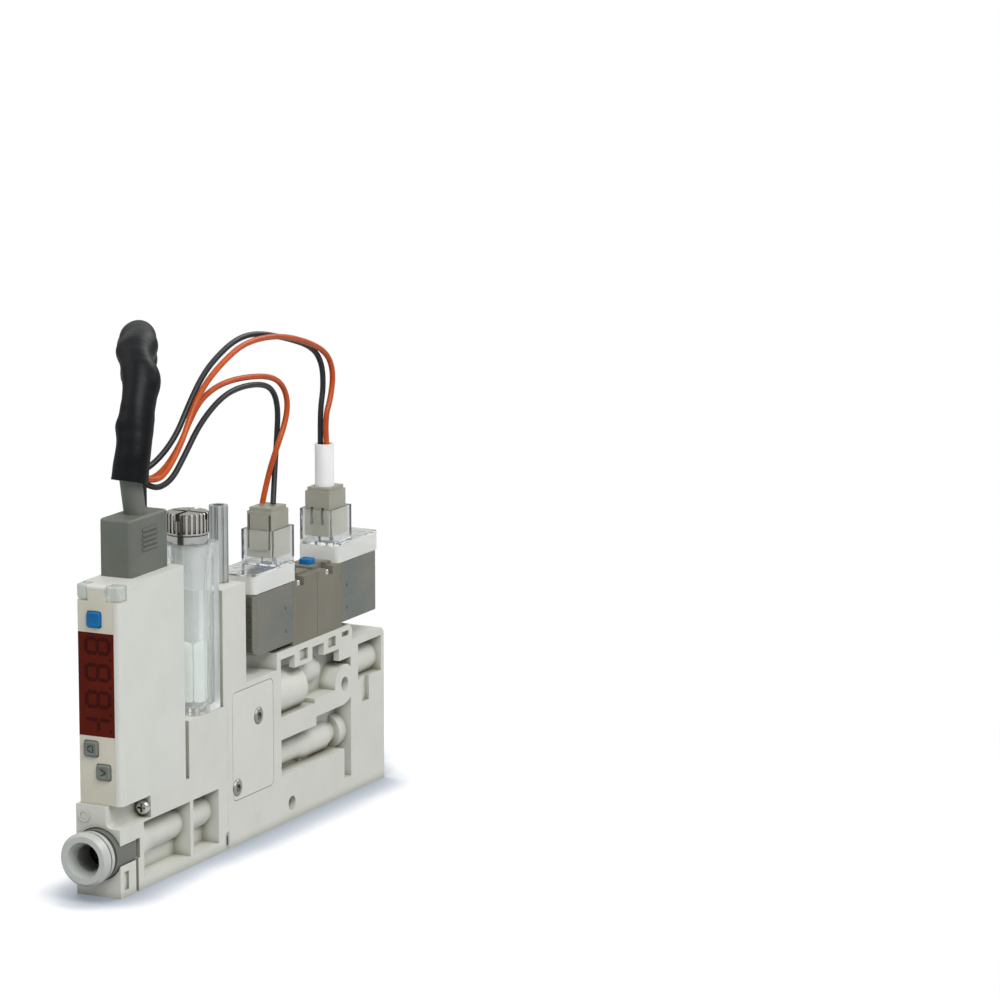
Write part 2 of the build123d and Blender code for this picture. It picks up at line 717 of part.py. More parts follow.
def rounded_ends(frame, side):
    """Round the far ends of a coil frame's side plates, seen from the side: more at the bottom than at the top."""
    far_y = valve_mid_y + side * coil_far
    for z, r, way in ((coil_low_z, coil_low_corner, 1), (coil_high_z, coil_high_corner, -1)):
        y, mid_z = far_y - side * r, z + way * r
        square = Pos(0, y + side * r, z) * Box(width, 2 * r, 2 * r)
        frame -= square - rod_x(r, -half, half, y, mid_z)
    return frame


def valve(name, side, screw_u):
    """One pilot valve; u counts outwards from the middle of the pair, towards side (-1 front, +1 rear)."""

    def along(u0, u1):
        a, b = valve_mid_y + side * u0, valve_mid_y + side * u1
        return min(a, b), max(a, b)

    y0, y1 = along(seat * 2, valve_body_long)
    body = block(-valve_half, valve_half, y0, y1, rail_z + seat, valve_body_top_z)
    y0, y1 = along(1.6, cover_near - running)
    body += block(-valve_half + 2.6, valve_half - 2.6, y0, y1, valve_body_top_z - 1, valve_body_top_z + 0.9)
    button_y = valve_mid_y + side * override_u
    grow = override_wide / 2 + running
    body -= rounded_xy(-grow, grow, button_y - grow, button_y + grow, valve_body_top_z - 4, valve_body_top_z + 5,
                       override_edge)
    screw_y = valve_mid_y + side * screw_u
    for sx in (-1, 1):
        body -= block(min(sx * 2.9, sx * 8), max(sx * 2.9, sx * 8), screw_y - 2.3, screw_y + 2.3,
                      valve_body_top_z - 2.6, valve_body_top_z + 2)
        body -= rod_z(screw_shank_r + 0.1, sx * valve_screw_x, screw_y, valve_body_top_z - 12, valve_body_top_z)
    place(name + "_valve_body", body)

    reach = override_wide / 2
    key = rounded_xy(-reach, reach, button_y - reach, button_y + reach, valve_body_top_z - 2.6, override_top_z,
                     override_edge)
    key = chamfer(key.edges().group_by(Axis.Z)[-1], 0.3)
    key -= Pos(0, button_y, override_top_z) * Box(3.2, 0.8, 1.2)
    place(name + "_override", key)

    # folded steel coil frame, open towards the body and at the top
    y0, y1 = along(valve_body_long + seat, coil_far)
    frame = block(-valve_half, valve_half, y0, y1, coil_low_z, coil_high_z)
    corners = frame.edges().filter_by(Axis.Z).sort_by(lambda e: -side * e.center().Y)[0:2]
    frame = fillet(corners, coil_bend)
    frame = rounded_ends(frame, side)
    inner = block(-valve_half + coil_sheet, valve_half - coil_sheet, *along(valve_body_long - 1, coil_far - coil_sheet),
                  coil_low_z + coil_sheet, coil_high_z + 1)
    frame -= inner
    for z in rivet_zs:
        y = valve_mid_y + side * (valve_body_long + rivet_back)
        frame += both_sides(rod_x(rivet_r, valve_half - coil_sheet / 2, valve_half + rivet_out, y, z))
    place(name + "_coil_frame", frame)

    mid_z = (coil_low_z + coil_high_z) / 2
    y0, y1 = along(valve_body_long + 0.4, coil_far - coil_sheet - 0.3)
    coil = rod_y(coil_r, y0, y1, mid_z)
    for u0, u1 in ((valve_body_long + 0.4, valve_body_long + 1.6), (coil_far - 2.5, coil_far - 1.3)):
        a, b = along(u0, u1)
        coil += block(-valve_half + 1.3, valve_half - 1.3, a, b, coil_low_z + coil_sheet + seat, coil_high_z - 1.2)
    a, b = along(valve_body_long - 1, valve_body_long + 2 + plunger_long + plunger_travel)
    coil -= rod_y(plunger_r + 0.06, a, b, mid_z)
    place(name + "_coil", coil)
    a, b = along(valve_body_long + 1.6, valve_body_long + 1.6 + plunger_long)
    place(name + "_plunger", rod_y(plunger_r, a, b, mid_z))

    a, b = along(cover_near + cover_wall, cover_far - cover_wall)
    board = block(-cover_half + 1.2, cover_half - 1.2, a + 0.3, b - 0.3, cover_low_z + 0.6, cover_low_z + 1.6)
    for sx in (-2.0, 2.0):
        pin_y = valve_mid_y + side * (housing_near + housing_far) / 2
        board += rod_z(0.35, sx, pin_y, cover_low_z + 1, housing_low_z + 4)
    place(name + "_valve_board", board)

    a, b = along(cover_near, cover_far)
    cover = rounded_xy(-cover_half, cover_half, a, b, cover_low_z, cover_high_z, 1.8)
    a, b = along(cover_near + cover_wall, cover_far - cover_wall)
    cover -= block(-cover_half + cover_wall, cover_half - cover_wall, a, b, 0, cover_high_z - cover_wall)
    a, b = along(socket_near, socket_far)
    cover += block(-socket_half, socket_half, a, b, cover_high_z - cover_wall, socket_top_z)
    a, b = along(socket_near + socket_wall, socket_far - socket_wall)
    cover -= block(-socket_half + socket_wall, socket_half - socket_wall, a, b, cover_high_z + 0.4, socket_top_z + 1)
    for sx in (-2.0, 2.0):
        cover -= rod_z(0.6, sx, pin_y, 0, cover_high_z + 2)
    place(name + "_valve_cover", cover)

    a, b = along(housing_near, housing_far)
    shell = block(-housing_half, housing_half, a, b, housing_low_z, housing_top_z)
    shell = chamfer(shell.edges().filter_by(Axis.Z), 0.5)
    shell += block(-housing_half + 0.7, housing_half - 0.7, a + 0.7, b - 0.7, housing_top_z - 1,
                   housing_top_z + housing_step)
    for sx in (-2.0, 2.0):
        shell -= rod_z(0.55, sx, pin_y, 0, housing_low_z + 5)
    # latch plate between two grooves on the outer face, and two terminal windows on the inner face
    for sx in (-1, 1):
        groove = sorted((sx * latch_half, sx * (latch_half + latch_groove)))
        shell -= block(*groove, *along(housing_far - 1.2, housing_far + 1), latch_low_z, latch_top_z)
        shell -= block(sx * terminal_x - terminal_wide / 2, sx * terminal_x + terminal_wide / 2,
                       *along(housing_near - 1, housing_near + terminal_deep), terminal_low_z, terminal_high_z)
    shell += block(-latch_half, latch_half, *along(housing_far - 0.5, housing_far + 0.4), latch_low_z, latch_top_z)
    place(name + "_plug_housing", shell)


def valve_screws():
    screws = []
    for side, u in ((-1, valve_screw_u[0]), (1, valve_screw_u[1])):
        for sx in (-1, 1):
            x, y = sx * valve_screw_x, valve_mid_y + side * u
            low = valve_body_top_z - 2.6
            screw = rod_z(valve_screw_r, x, y, low + seat, low + 1.8)
            screw = fillet(screw.edges().group_by(Axis.Z)[-1], 0.5)
            screw -= Pos(x, y, low + 1.8) * Box(0.5, 2.0, 1.2)
            screw -= Pos(x, y, low + 1.8) * Box(2.0, 0.5, 1.2)
            screw += rod_z(screw_shank_r, x, y, low - valve_screw_long, low + 0.5)
            screws.append(screw.solid())
    place("valve_screws", Compound(children=screws))


# Harness: every route is a list of points chosen by hand, rounded with arcs as large as the runs allow


def routed(name, points, r):
    path, radii = rounded_route(points)
    print(name, "length", round(path.length, 1), "radii", [round(x, 1) for x in radii])
    tube = sweep(Plane(origin=path @ 0, z_dir=path % 0) * Circle(r), path=path)
    print(name, "volume share", round(tube.volume / (pi * r * r * path.length), 4))
    return tube


def rounded_route(points):
    vectors = [Vector(*p) for p in points]
    radii = []
    for a, b, c in zip(vectors, vectors[1:], vectors[2:]):
        turn = radians((b - a).get_angle(c - b))
        radii.append(0.45 * min((b - a).length, (c - b).length) / tan(turn / 2))
    return FilletPolyline(*vectors, radius=radii), radii


cable_route = [
    (-1.6, 24.2, 123.4), (-0.85, 28.5, 141.4), (-9.25, 42.7, 158.4), (-21.45, 63.3, 158.4),
    (-30.05, 77.7, 141.4), (-30.9, 79.3, 101.0), (-30.3, 78.0, 59.0), (-30.05, 77.7, 17.9),
    (-22.45, 90.9, 2.6), (-11.95, 108.95, 2.6),
]
lead_routes = {
    "release_red_lead": [
        (0.6, 28.2, 121.5), (1.7, 33.7, 119.6), (2.3, 40.1, 122.3), (2.4, 48.6, 129.9), (2.3, 54.8, 138.4),
        (2.2, 62.4, 144.7), (1.8, 74.7, 150.0), (1.4, 89.4, 153.9), (1.0, 110.0, 153.1), (0.8, 128.5, 148.8),
        (0.8, 142.7, 143.2), (0.8, 147.3, 136.3), (0.9, 145.2, 128.1), (1.0, 141.1, 122.3), (1.1, 142.2, 109.2),
        (1.1, 142.4, 100.6)],
    "release_black_lead": [
        (-5.4, 26.6, 121.9), (-4.9, 34.0, 121.3), (-1.5, 39.8, 124.5), (-0.4, 49.3, 130.7), (-0.2, 56.4, 138.7),
        (-0.3, 64.5, 146.0), (-0.5, 72.8, 150.5), (-0.8, 86.7, 154.9), (-1.0, 100.8, 155.1), (-1.2, 121.8, 150.2),
        (-1.2, 137.3, 145.3), (-1.2, 143.4, 139.3), (-1.2, 144.2, 131.4), (-1.2, 142.1, 125.0), (-1.1, 141.7, 112.6),
        (-1.1, 142.0, 100.6)],
    "supply_red_lead": [
        (-3.2, 28.2, 121.5), (-2.7, 35.2, 119.1), (-1.1, 42.5, 120.9), (-0.4, 51.7, 127.5), (-0.4, 57.5, 134.0),
        (0.2, 63.1, 139.7), (0.8, 72.0, 142.7), (1.3, 83.7, 143.4), (1.6, 100.5, 141.9), (1.7, 110.4, 138.8),
        (1.7, 115.4, 132.8), (1.7, 114.4, 126.0), (1.2, 108.8, 117.6), (-0.7, 106.6, 109.2), (-1.7, 104.6, 100.6)],
    "supply_black_lead": [
        (-1.3, 28.6, 121.3), (0.6, 33.1, 117.1), (2.9, 40.1, 118.5), (3.0, 48.5, 125.2), (2.6, 58.8, 133.5),
        (2.4, 72.4, 139.5), (2.3, 85.2, 140.9), (1.4, 100.9, 139.2), (0.6, 108.8, 135.4), (-0.1, 112.4, 129.1),
        (-0.5, 112.1, 120.4), (0.2, 109.3, 110.2), (1.7, 105.4, 100.6)],
}


def harness():
    place("signal_cable", routed("signal_cable", cable_route, cable_r))
    # the sleeve follows the cable's own arcs round the bend and stops on the way down
    points = [Vector(*p) for p in cable_route[:5]]
    points[0] += (points[1] - points[0]).normalized() * sleeve_start
    points[4] = points[3] + (points[4] - points[3]) * 0.54
    path = FilletPolyline(*points, radius=rounded_route(cable_route)[1][:3])
    section = Circle(sleeve_r) - Circle(cable_r + 0.35)
    sleeve = sweep(Plane(origin=path @ 0, z_dir=path % 0) * section, path=path)
    place("cable_sleeve", sleeve)
    for name, points in lead_routes.items():
        place(name, routed(name, points, lead_r))

    y = valve_mid_y + (housing_near + housing_far) / 2 - 0.5
    low = housing_top_z + housing_step + seat
    place("marker_tube", rod_z(marker_r, 0, y, low, low + marker_high) - rod_z(marker_bore_r, 0, y, 0, 200))

    inner_r = hank_fold_r - cable_r
    limb = hank_strands * 2 * cable_r
    outer_r = inner_r + limb
    centre = Pos(hank_near_x - outer_r, hank_front_y + hank_long / 2)
    ring = SlotOverall(hank_long, 2 * outer_r, rotation=90)
    ring -= SlotOverall(hank_long - 2 * limb, 2 * inner_r, rotation=90)
    place("cable_hank", Pos(0, 0, floor_gap) * centre * extrude(ring, hank_layers * 2 * cable_r))


port_block()
fitting()
switch_case()
cable_plug()
filter_parts()
fluted_post()
ejector_body()
ejector_set()
spools()
valve("supply", -1, valve_screw_u[0])
valve("release", 1, valve_screw_u[1])
valve_screws()
harness()

os.makedirs("parts", exist_ok=True)
for name, shape in pieces.items():
    shape.label = name
    export_step(shape, f"parts/{name}.step")
print(len(pieces), "pieces")
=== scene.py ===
import bmesh
import bpy
import numpy as np
from math import pi, radians
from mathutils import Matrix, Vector


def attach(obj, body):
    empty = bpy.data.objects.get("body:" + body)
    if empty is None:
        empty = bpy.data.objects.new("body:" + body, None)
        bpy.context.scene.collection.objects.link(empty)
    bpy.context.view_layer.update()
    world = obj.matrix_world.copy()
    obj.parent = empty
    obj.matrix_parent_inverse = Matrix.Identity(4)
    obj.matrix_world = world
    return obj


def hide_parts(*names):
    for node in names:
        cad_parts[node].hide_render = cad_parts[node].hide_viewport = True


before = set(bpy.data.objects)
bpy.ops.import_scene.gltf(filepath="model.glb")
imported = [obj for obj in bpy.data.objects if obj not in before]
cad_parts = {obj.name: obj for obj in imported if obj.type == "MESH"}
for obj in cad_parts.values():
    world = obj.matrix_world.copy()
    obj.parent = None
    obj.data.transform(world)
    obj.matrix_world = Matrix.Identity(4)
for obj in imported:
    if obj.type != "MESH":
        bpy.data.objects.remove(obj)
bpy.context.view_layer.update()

mm = 0.001
noseY = 79.6  # the port block's front face lies this far in front of the origin, in mm
valveMidY = 123.9  # the two pilot valves mirror each other about this depth


def place(points):
    # millimetres measured from the port block's front face, turned into the frame's metres
    return (np.asarray(points, float) - (0, noseY, 0)) * mm


# ---- colour, nodes and materials ----


def linear(hexText, alpha=1.0):
    srgb = np.array([int(hexText[i:i + 2], 16) / 255 for i in (0, 2, 4)])
    low, high = srgb / 12.92, ((srgb + 0.055) / 1.055) ** 2.4
    return (*np.where(srgb <= 0.04045, low, high), alpha)


def addNode(tree, kind, values=None, links=None, **settings):
    # one node with its settings, its socket values and its incoming links
    node = tree.nodes.new("ShaderNode" + kind)
    for key, value in settings.items():
        setattr(node, key, value)
    for key, value in (values or {}).items():
        node.inputs[key].default_value = value
    for key, source in (links or {}).items():
        tree.links.new(source, node.inputs[key])
    return node


def ramp(tree, source, stops):
    # stops are (position, colour) pairs
    node = addNode(tree, "ValToRGB", links={"Fac": source})
    while len(node.color_ramp.elements) < len(stops):
        node.color_ramp.elements.new(0.5)
    for element, (at, colour) in zip(node.color_ramp.elements, stops):
        element.position, element.color = at, colour
    return node.outputs["Color"]


def newMaterial(name):
    material = bpy.data.materials.new(name)
    material.use_nodes = True
    tree = material.node_tree
    tree.nodes.clear()
    return material, tree, addNode(tree, "OutputMaterial"), addNode(tree, "TexCoord").outputs["Object"]


def paintedCornerShade(tree, colour, tint, reachMm):
    # painted shade: where walls stand close, ambient occlusion draws the colour towards the tint in corners and slots
    bare = addNode(tree, "AmbientOcclusion", {"Distance": reachMm * mm}, samples=8)
    share = addNode(tree, "MapRange", {"From Min": 0.25, "From Max": 0.85, "To Min": 1.0, "To Max": 0.0},
                    {"Value": bare.outputs["AO"]})
    mix = addNode(tree, "MixRGB", {"Color2": linear(tint)}, {"Fac": share.outputs["Result"], "Color1": colour},
                  blend_type="MULTIPLY")
    return mix.outputs["Color"]


def mouldedPlastic(name, base, deep, rough=0.5, grainMm=0.35, grain=0.12, cloudMm=14, ior=1.5, shine=0.5, coat=0.0,
                   soft=0.0, corners=None):
    # injection moulded: a fine spark-eroded grain in the gloss, faint clouding a little darker in patches, and, where
    # corners are given, painted shade in corners and slots
    material, tree, out, spot = newMaterial(name)
    cloud = addNode(tree, "TexNoise", {"Scale": 1000 / cloudMm, "Detail": 3.0, "Roughness": 0.55}, {"Vector": spot})
    colour = ramp(tree, cloud.outputs["Fac"], [(0.30, linear(deep)), (0.62, linear(base))])
    # painted shade: corners and slots drawn towards a dark tint, where corners are given
    colour = paintedCornerShade(tree, colour, *corners) if corners else colour
    grit = addNode(tree, "TexNoise", {"Scale": 1000 / grainMm, "Detail": 2.0}, {"Vector": spot})
    gloss = addNode(tree, "MapRange", {"To Min": rough - 0.07, "To Max": rough + 0.07}, {"Value": grit.outputs["Fac"]})
    bump = addNode(tree, "Bump", {"Strength": grain, "Distance": 0.05 * mm}, {"Height": grit.outputs["Fac"]})
    shader = addNode(tree, "BsdfPrincipled", {"IOR": ior, "Specular IOR Level": shine, "Coat Weight": coat,
                                              "Coat Roughness": 0.15, "Subsurface Weight": soft,
                                              "Subsurface Scale": 0.4 * mm},
                     {"Base Color": colour, "Roughness": gloss.outputs["Result"], "Normal": bump.outputs["Normal"]})
    tree.links.new(shader.outputs["BSDF"], out.inputs["Surface"])
    return material


def metal(name, base, deep, rough=0.3, lineMm=0.25, stretch=(1, 18, 1), lines=0.15, cloudMm=9, corners=None):
    # drawn, turned or brushed: fine lines along the working direction, in the gloss and the relief
    material, tree, out, spot = newMaterial(name)
    along = addNode(tree, "Mapping", {"Scale": tuple(1 / s for s in stretch)}, {"Vector": spot})
    streak = addNode(tree, "TexNoise", {"Scale": 1000 / lineMm, "Detail": 3.0}, {"Vector": along.outputs["Vector"]})
    tone = addNode(tree, "TexNoise", {"Scale": 1000 / cloudMm, "Detail": 2.0}, {"Vector": spot})
    colour = ramp(tree, tone.outputs["Fac"], [(0.32, linear(deep)), (0.60, linear(base))])
    # painted shade: corners and slots drawn towards a dark tint, where corners are given
    colour = paintedCornerShade(tree, colour, *corners) if corners else colour
    gloss = addNode(tree, "MapRange", {"To Min": rough - 0.08, "To Max": rough + 0.10},
                    {"Value": streak.outputs["Fac"]})
    bump = addNode(tree, "Bump", {"Strength": lines, "Distance": 0.03 * mm}, {"Height": streak.outputs["Fac"]})
    shader = addNode(tree, "BsdfPrincipled", {"Metallic": 1.0},
                     {"Base Color": colour, "Roughness": gloss.outputs["Result"], "Normal": bump.outputs["Normal"]})
    tree.links.new(shader.outputs["BSDF"], out.inputs["Surface"])
    return material


def clearPlastic(name, tint, rough=0.08, ior=1.585, flowMm=9, waves=0.12, haze=0.0, sideHaze=0.0, hazeTint="C9CCC4",
                 hazeBelowMm=200.0):
    # moulded clear: slightly wavy faces, light passes on to what stands behind, and a little haze, more in upright
    # walls, whose two ground faces scatter the light
    material, tree, out, spot = newMaterial(name)
    flow = addNode(tree, "TexNoise", {"Scale": 1000 / flowMm, "Detail": 1.0}, {"Vector": spot})
    bump = addNode(tree, "Bump", {"Strength": waves, "Distance": 0.15 * mm}, {"Height": flow.outputs["Fac"]})
    gloss = addNode(tree, "MapRange", {"To Min": rough * 0.6, "To Max": rough * 1.4}, {"Value": flow.outputs["Fac"]})
    glass = addNode(tree, "BsdfPrincipled", {"Base Color": linear(tint), "IOR": ior, "Transmission Weight": 1.0},
                    {"Roughness": gloss.outputs["Result"], "Normal": bump.outputs["Normal"]})
    milk = addNode(tree, "BsdfPrincipled", {"Base Color": linear(hazeTint), "Roughness": 0.35, "IOR": ior})
    facing = addNode(tree, "SeparateXYZ", None, {"Vector": addNode(tree, "NewGeometry").outputs["Normal"]})
    level = addNode(tree, "Math", None, {0: facing.outputs["Z"]}, operation="ABSOLUTE")
    share = addNode(tree, "MapRange", {"To Min": sideHaze, "To Max": 0.0}, {"Value": level.outputs[0]})
    height = addNode(tree, "SeparateXYZ", None, {"Vector": spot})
    low = addNode(tree, "Math", {1: hazeBelowMm * mm}, {0: height.outputs["Z"]}, operation="LESS_THAN")
    share = addNode(tree, "Math", {2: haze}, {0: share.outputs["Result"], 1: low.outputs[0]}, operation="MULTIPLY_ADD")
    body = addNode(tree, "MixShader", None, {0: share.outputs[0], 1: glass.outputs["BSDF"],
                                             2: milk.outputs["BSDF"]})
    through = addNode(tree, "BsdfTransparent", {"Color": linear(tint)})
    path = addNode(tree, "LightPath")
    mix = addNode(tree, "MixShader", None, {0: path.outputs["Is Shadow Ray"], 1: body.outputs["Shader"],
                                            2: through.outputs["BSDF"]})
    tree.links.new(mix.outputs["Shader"], out.inputs["Surface"])
    return material


def circuitBoard(name, mask, track, pad, trackMm=1.9, padMm=1.3):
    # solder mask over copper: tracks show as a lighter net under it, with bright tinned pads here and there
    material, tree, out, spot = newMaterial(name)
    net = addNode(tree, "TexVoronoi", {"Scale": 1000 / trackMm}, {"Vector": spot}, feature="DISTANCE_TO_EDGE")
    tracks = ramp(tree, net.outputs["Distance"], [(0.05, linear(track)), (0.09, linear(mask))])
    dots = addNode(tree, "TexVoronoi", {"Scale": 1000 / padMm}, {"Vector": spot})
    isPad = addNode(tree, "Math", {1: 0.21}, {0: dots.outputs["Distance"]}, operation="LESS_THAN")
    colour = addNode(tree, "MixRGB", {"Color2": linear(pad)}, {"Fac": isPad.outputs[0], "Color1": tracks})
    shader = addNode(tree, "BsdfPrincipled", {"Roughness": 0.3}, {"Base Color": colour.outputs["Color"],
                                                                 "Metallic": isPad.outputs[0]})
    tree.links.new(shader.outputs["BSDF"], out.inputs["Surface"])
    return material


finishes = {
    # glass-filled PBT, moulded: dull and pale, with a faint grain and painted shade darkening its corners
    "bodyPbt": mouldedPlastic("bodyPbt", "CACBC3", "C5C6BD", 0.50, 0.5, 0.14, corners=("ADA99C", 4.0)),
    # the same PBT off a smoother tool: a touch more sheen than the body round it
    "coverPbt": mouldedPlastic("coverPbt", "CCCDC5", "C7C8BF", 0.44, 0.5, 0.10),
    # moulded ABS, off-white: even and satin
    "caseAbs": mouldedPlastic("caseAbs", "CCCDC6", "C7C8C1", 0.46, 0.4, 0.08),
    # moulded ABS, beige: warmer than the case beside it
    "panelAbs": mouldedPlastic("panelAbs", "C8C4B5", "C0BCAD", 0.42, 0.4, 0.05),
    # tinted acrylic window: dark red, with little shine
    "displayPmma": mouldedPlastic("displayPmma", "58180A", "4E1408", 0.30, 0.6, 0.01, shine=0.08),
    # unlit bars behind the window: a darker red
    "segmentPmma": mouldedPlastic("segmentPmma", "3B0D06", "360B05", 0.30, 0.6, 0.01, shine=0.08),
    # moulded ABS, blue: smooth, with a soft highlight
    "blueAbs": mouldedPlastic("blueAbs", "0C6AA4", "0A6097", 0.34, 0.4, 0.05, shine=0.2),
    # moulded ABS, mid grey
    "greyAbs": mouldedPlastic("greyAbs", "6E736C", "666B64", 0.40, 0.4, 0.05, shine=0.3),
    # printed ink: flat, dark green-grey
    "markInk": mouldedPlastic("markInk", "33403C", "2E3A36", 0.50, 0.4, 0.02, shine=0.3),
    # flexible moulded PVC: matt dark grey
    "plugPvc": mouldedPlastic("plugPvc", "63675F", "5C6058", 0.52, 0.3, 0.15, ior=1.54, shine=0.4),
    # PPS resin, moulded: brown-grey and dull
    "valvePps": mouldedPlastic("valvePps", "767366", "6F6C5F", 0.48, 0.4, 0.14, shine=0.3),
    # nylon connector housing: light passes a little into its edges
    "housingNylon": mouldedPlastic("housingNylon", "9B998C", "929083", 0.42, 0.4, 0.08, soft=0.05),
    # polished acetal: pale grey, with painted shade darkening it down the bore
    "collarPom": mouldedPlastic("collarPom", "B6B9B4", "B0B3AE", 0.30, 0.5, 0.03, 18, 1.48, soft=0.1,
                                corners=("4C4A43", 8.0)),
    # moulded PBT, dark grey
    "fittingPbt": mouldedPlastic("fittingPbt", "63665F", "5D6059", 0.40, 0.5, 0.08),
    # moulded epoxy: near black
    "coilEpoxy": mouldedPlastic("coilEpoxy", "2A2A28", "222220", 0.35, 0.5, 0.10),
    # blue solder mask over copper tracks and tinned pads
    "boardResin": circuitBoard("boardResin", "2F6C9E", "5D93BD", "DADCD8"),
    # moulded chip packages: matt black
    "chipEpoxy": mouldedPlastic("chipEpoxy", "2B2D2F", "232527", 0.45, 0.3, 0.08),
    # fired ceramic: sandy and matt
    "chipCeramic": mouldedPlastic("chipCeramic", "B9B2A2", "A79F8E", 0.40, 0.3, 0.08),
    # moulded rubber: matt black
    "nitrile": mouldedPlastic("nitrile", "232323", "1C1C1C", 0.65, 0.4, 0.20, ior=1.52, shine=0.3),
    # sintered polyethylene: rough and white, looks like felt
    "porousPe": mouldedPlastic("porousPe", "C2C5C0", "B4B8B2", 0.80, 0.6, 0.60, 3),
    # white PVC tubing: glows a little at its edges
    "markerPvc": mouldedPlastic("markerPvc", "ECECEC", "E6E6E5", 0.38, 0.6, 0.03, soft=0.2),
    # extruded PVC: orange-red with a soft line of light
    "redPvc": mouldedPlastic("redPvc", "B84A08", "A64006", 0.40, 0.5, 0.05, 6, shine=0.35),
    # extruded PVC: black with a soft line of light
    "blackPvc": mouldedPlastic("blackPvc", "1B1E20", "16181A", 0.42, 0.5, 0.06, 6, shine=0.4),
    # extruded sheath: black and duller than the leads
    "sheathPvc": mouldedPlastic("sheathPvc", "1D2023", "17191C", 0.50, 0.4, 0.12, 8, shine=0.25),
    # shrunk sleeving: black, creased and nearly matt
    "sleevePvc": mouldedPlastic("sleevePvc", "0E1013", "0A0C0E", 0.42, 1.2, 0.30, 10, shine=0.14),
    # extruded core insulation, blue
    "bluePvc": mouldedPlastic("bluePvc", "2A5FA5", "25559A", 0.42, 0.5, 0.05, 6),
    # extruded core insulation, brown
    "brownPvc": mouldedPlastic("brownPvc", "6B4328", "5F3A22", 0.42, 0.5, 0.05, 6),
    # drawn wire and strip: bright with fine lines
    "springSteel": metal("springSteel", "C9C9C6", "BDBDB9", 0.28),
    # spring strip gone dull: brownish grey
    "clipSteel": metal("clipSteel", "8C8878", "7F7B6C", 0.38),
    # rolled magnetic sheet: grey, clouded from warm to green
    "coilSteel": metal("coilSteel", "959082", "81867F", 0.28, 2.4, (8, 8, 1), 0.01, 24),
    # turned stainless steel: bright and a little soft
    "stainless": metal("stainless", "C4C4C0", "B8B8B4", 0.25),
    # zinc-plated screws: bright, with painted shade darkening the recesses
    "zincSteel": metal("zincSteel", "D6D6D2", "C8C8C4", 0.20, 0.4, (1, 1, 6), 0.08, corners=("3A3936", 0.8)),
    # tumbled zinc screws: grey, with painted shade darkening the sockets
    "screwZinc": metal("screwZinc", "A9ABA5", "989A94", 0.32, 0.3, (1, 1, 1), 0.10, corners=("4A4844", 0.8)),
    # tinned sheet: bright and slightly warm
    "tinPlate": metal("tinPlate", "D2D0C8", "BFBDB4", 0.22, 0.3, (1, 1, 8), 0.10),
    # turned and anodised aluminium: pale and clear, lines run round it
    "anodised": metal("anodised", "CACAC8", "BCBCB9", 0.16, 0.25, (1, 1, 14), 0.08),
    # turned and knurled aluminium: bright ridges, with painted shade making the grooves nearly black
    "knobAnodised": metal("knobAnodised", "C9C6BE", "B7B3A9", 0.20, 0.25, (1, 1, 14), 0.08,
                          corners=("2A2520", 1.1)),
    # drawn and anodised aluminium: satin grey, with painted shade in the flutes
    "greyAnodised": metal("greyAnodised", "CED1CE", "C1C4C1", 0.34, 0.25, (1, 1, 14), 0.08,
                          corners=("7A7C78", 0.8)),
    # turned brass: yellow with lines round it
    "brass": metal("brass", "D8B46A", "CCA75C", 0.25, 0.25, (1, 1, 14), 0.10),
    # clear polycarbonate: shows what stands in it, with pale frosted walls
    "clearPc": clearPlastic("clearPc", "FBFDFC", 0.05, haze=0.05, sideHaze=0.16, hazeTint="E4E9E7"),
    # clear polycarbonate: a wavy clear top over milky lower walls
    "coverPc": clearPlastic("coverPc", "FCFDFD", 0.08, flowMm=2.2, waves=0.35, haze=0.02, sideHaze=0.57,
                            hazeTint="DDDCD5", hazeBelowMm=82.0),
    # diffusing polycarbonate: pale, lets little through
    "milkyPc": clearPlastic("milkyPc", "DDE0DA", 0.25, haze=0.62, hazeTint="C9CEC8"),
}
print("materials", len(finishes))

wearing = {
    "bodyPbt": ["port_block", "ejector_body"],
    "coverPbt": ["cover_plate"],
    "caseAbs": ["switch_case"],
    "panelAbs": ["front_panel"],
    "displayPmma": ["display_window"],
    "milkyPc": ["light_cap"],
    "blueAbs": ["set_button", "supply_override", "release_override"],
    "greyAbs": ["up_button", "down_button"],
    "plugPvc": ["cable_plug"],
    "valvePps": ["supply_valve_body", "release_valve_body"],
    "housingNylon": ["supply_plug_housing", "release_plug_housing"],
    "collarPom": ["release_collar"],
    "fittingPbt": ["fitting_body"],
    "coilEpoxy": ["supply_coil", "release_coil"],
    "boardResin": ["switch_board", "supply_valve_board", "release_valve_board"],
    "nitrile": ["port_seal", "filter_seal"],
    "porousPe": ["filter_element", "silencer_element"],
    "markerPvc": ["marker_tube"],
    "springSteel": ["supply_spring", "release_spring", "joint_clip"],
    "clipSteel": ["fitting_clip"],
    "coilSteel": ["supply_coil_frame", "release_coil_frame"],
    "stainless": ["grab_ring", "pressure_sensor", "supply_plunger", "release_plunger"],
    "zincSteel": ["switch_screw", "valve_screws"],
    "screwZinc": ["cover_screws"],
    "anodised": ["flow_housing", "diffuser", "supply_spool", "release_spool"],
    "knobAnodised": ["flow_knob"],
    "greyAnodised": ["fluted_post"],
    "brass": ["nozzle", "flow_needle"],
    "clearPc": ["filter_case"],
    "coverPc": ["supply_valve_cover", "release_valve_cover"],
    "sheathPvc": ["cable_sleeve", "cable_hank", "signal_cable"],
    "redPvc": ["supply_red_lead", "release_red_lead"],
    "blackPvc": ["supply_black_lead", "release_black_lead"],
}
for finish, nodes in wearing.items():
    for node in nodes:
        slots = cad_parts[node].data.materials
        slots.clear()
        slots.append(finishes[finish])


# ---- meshes from arrays ----


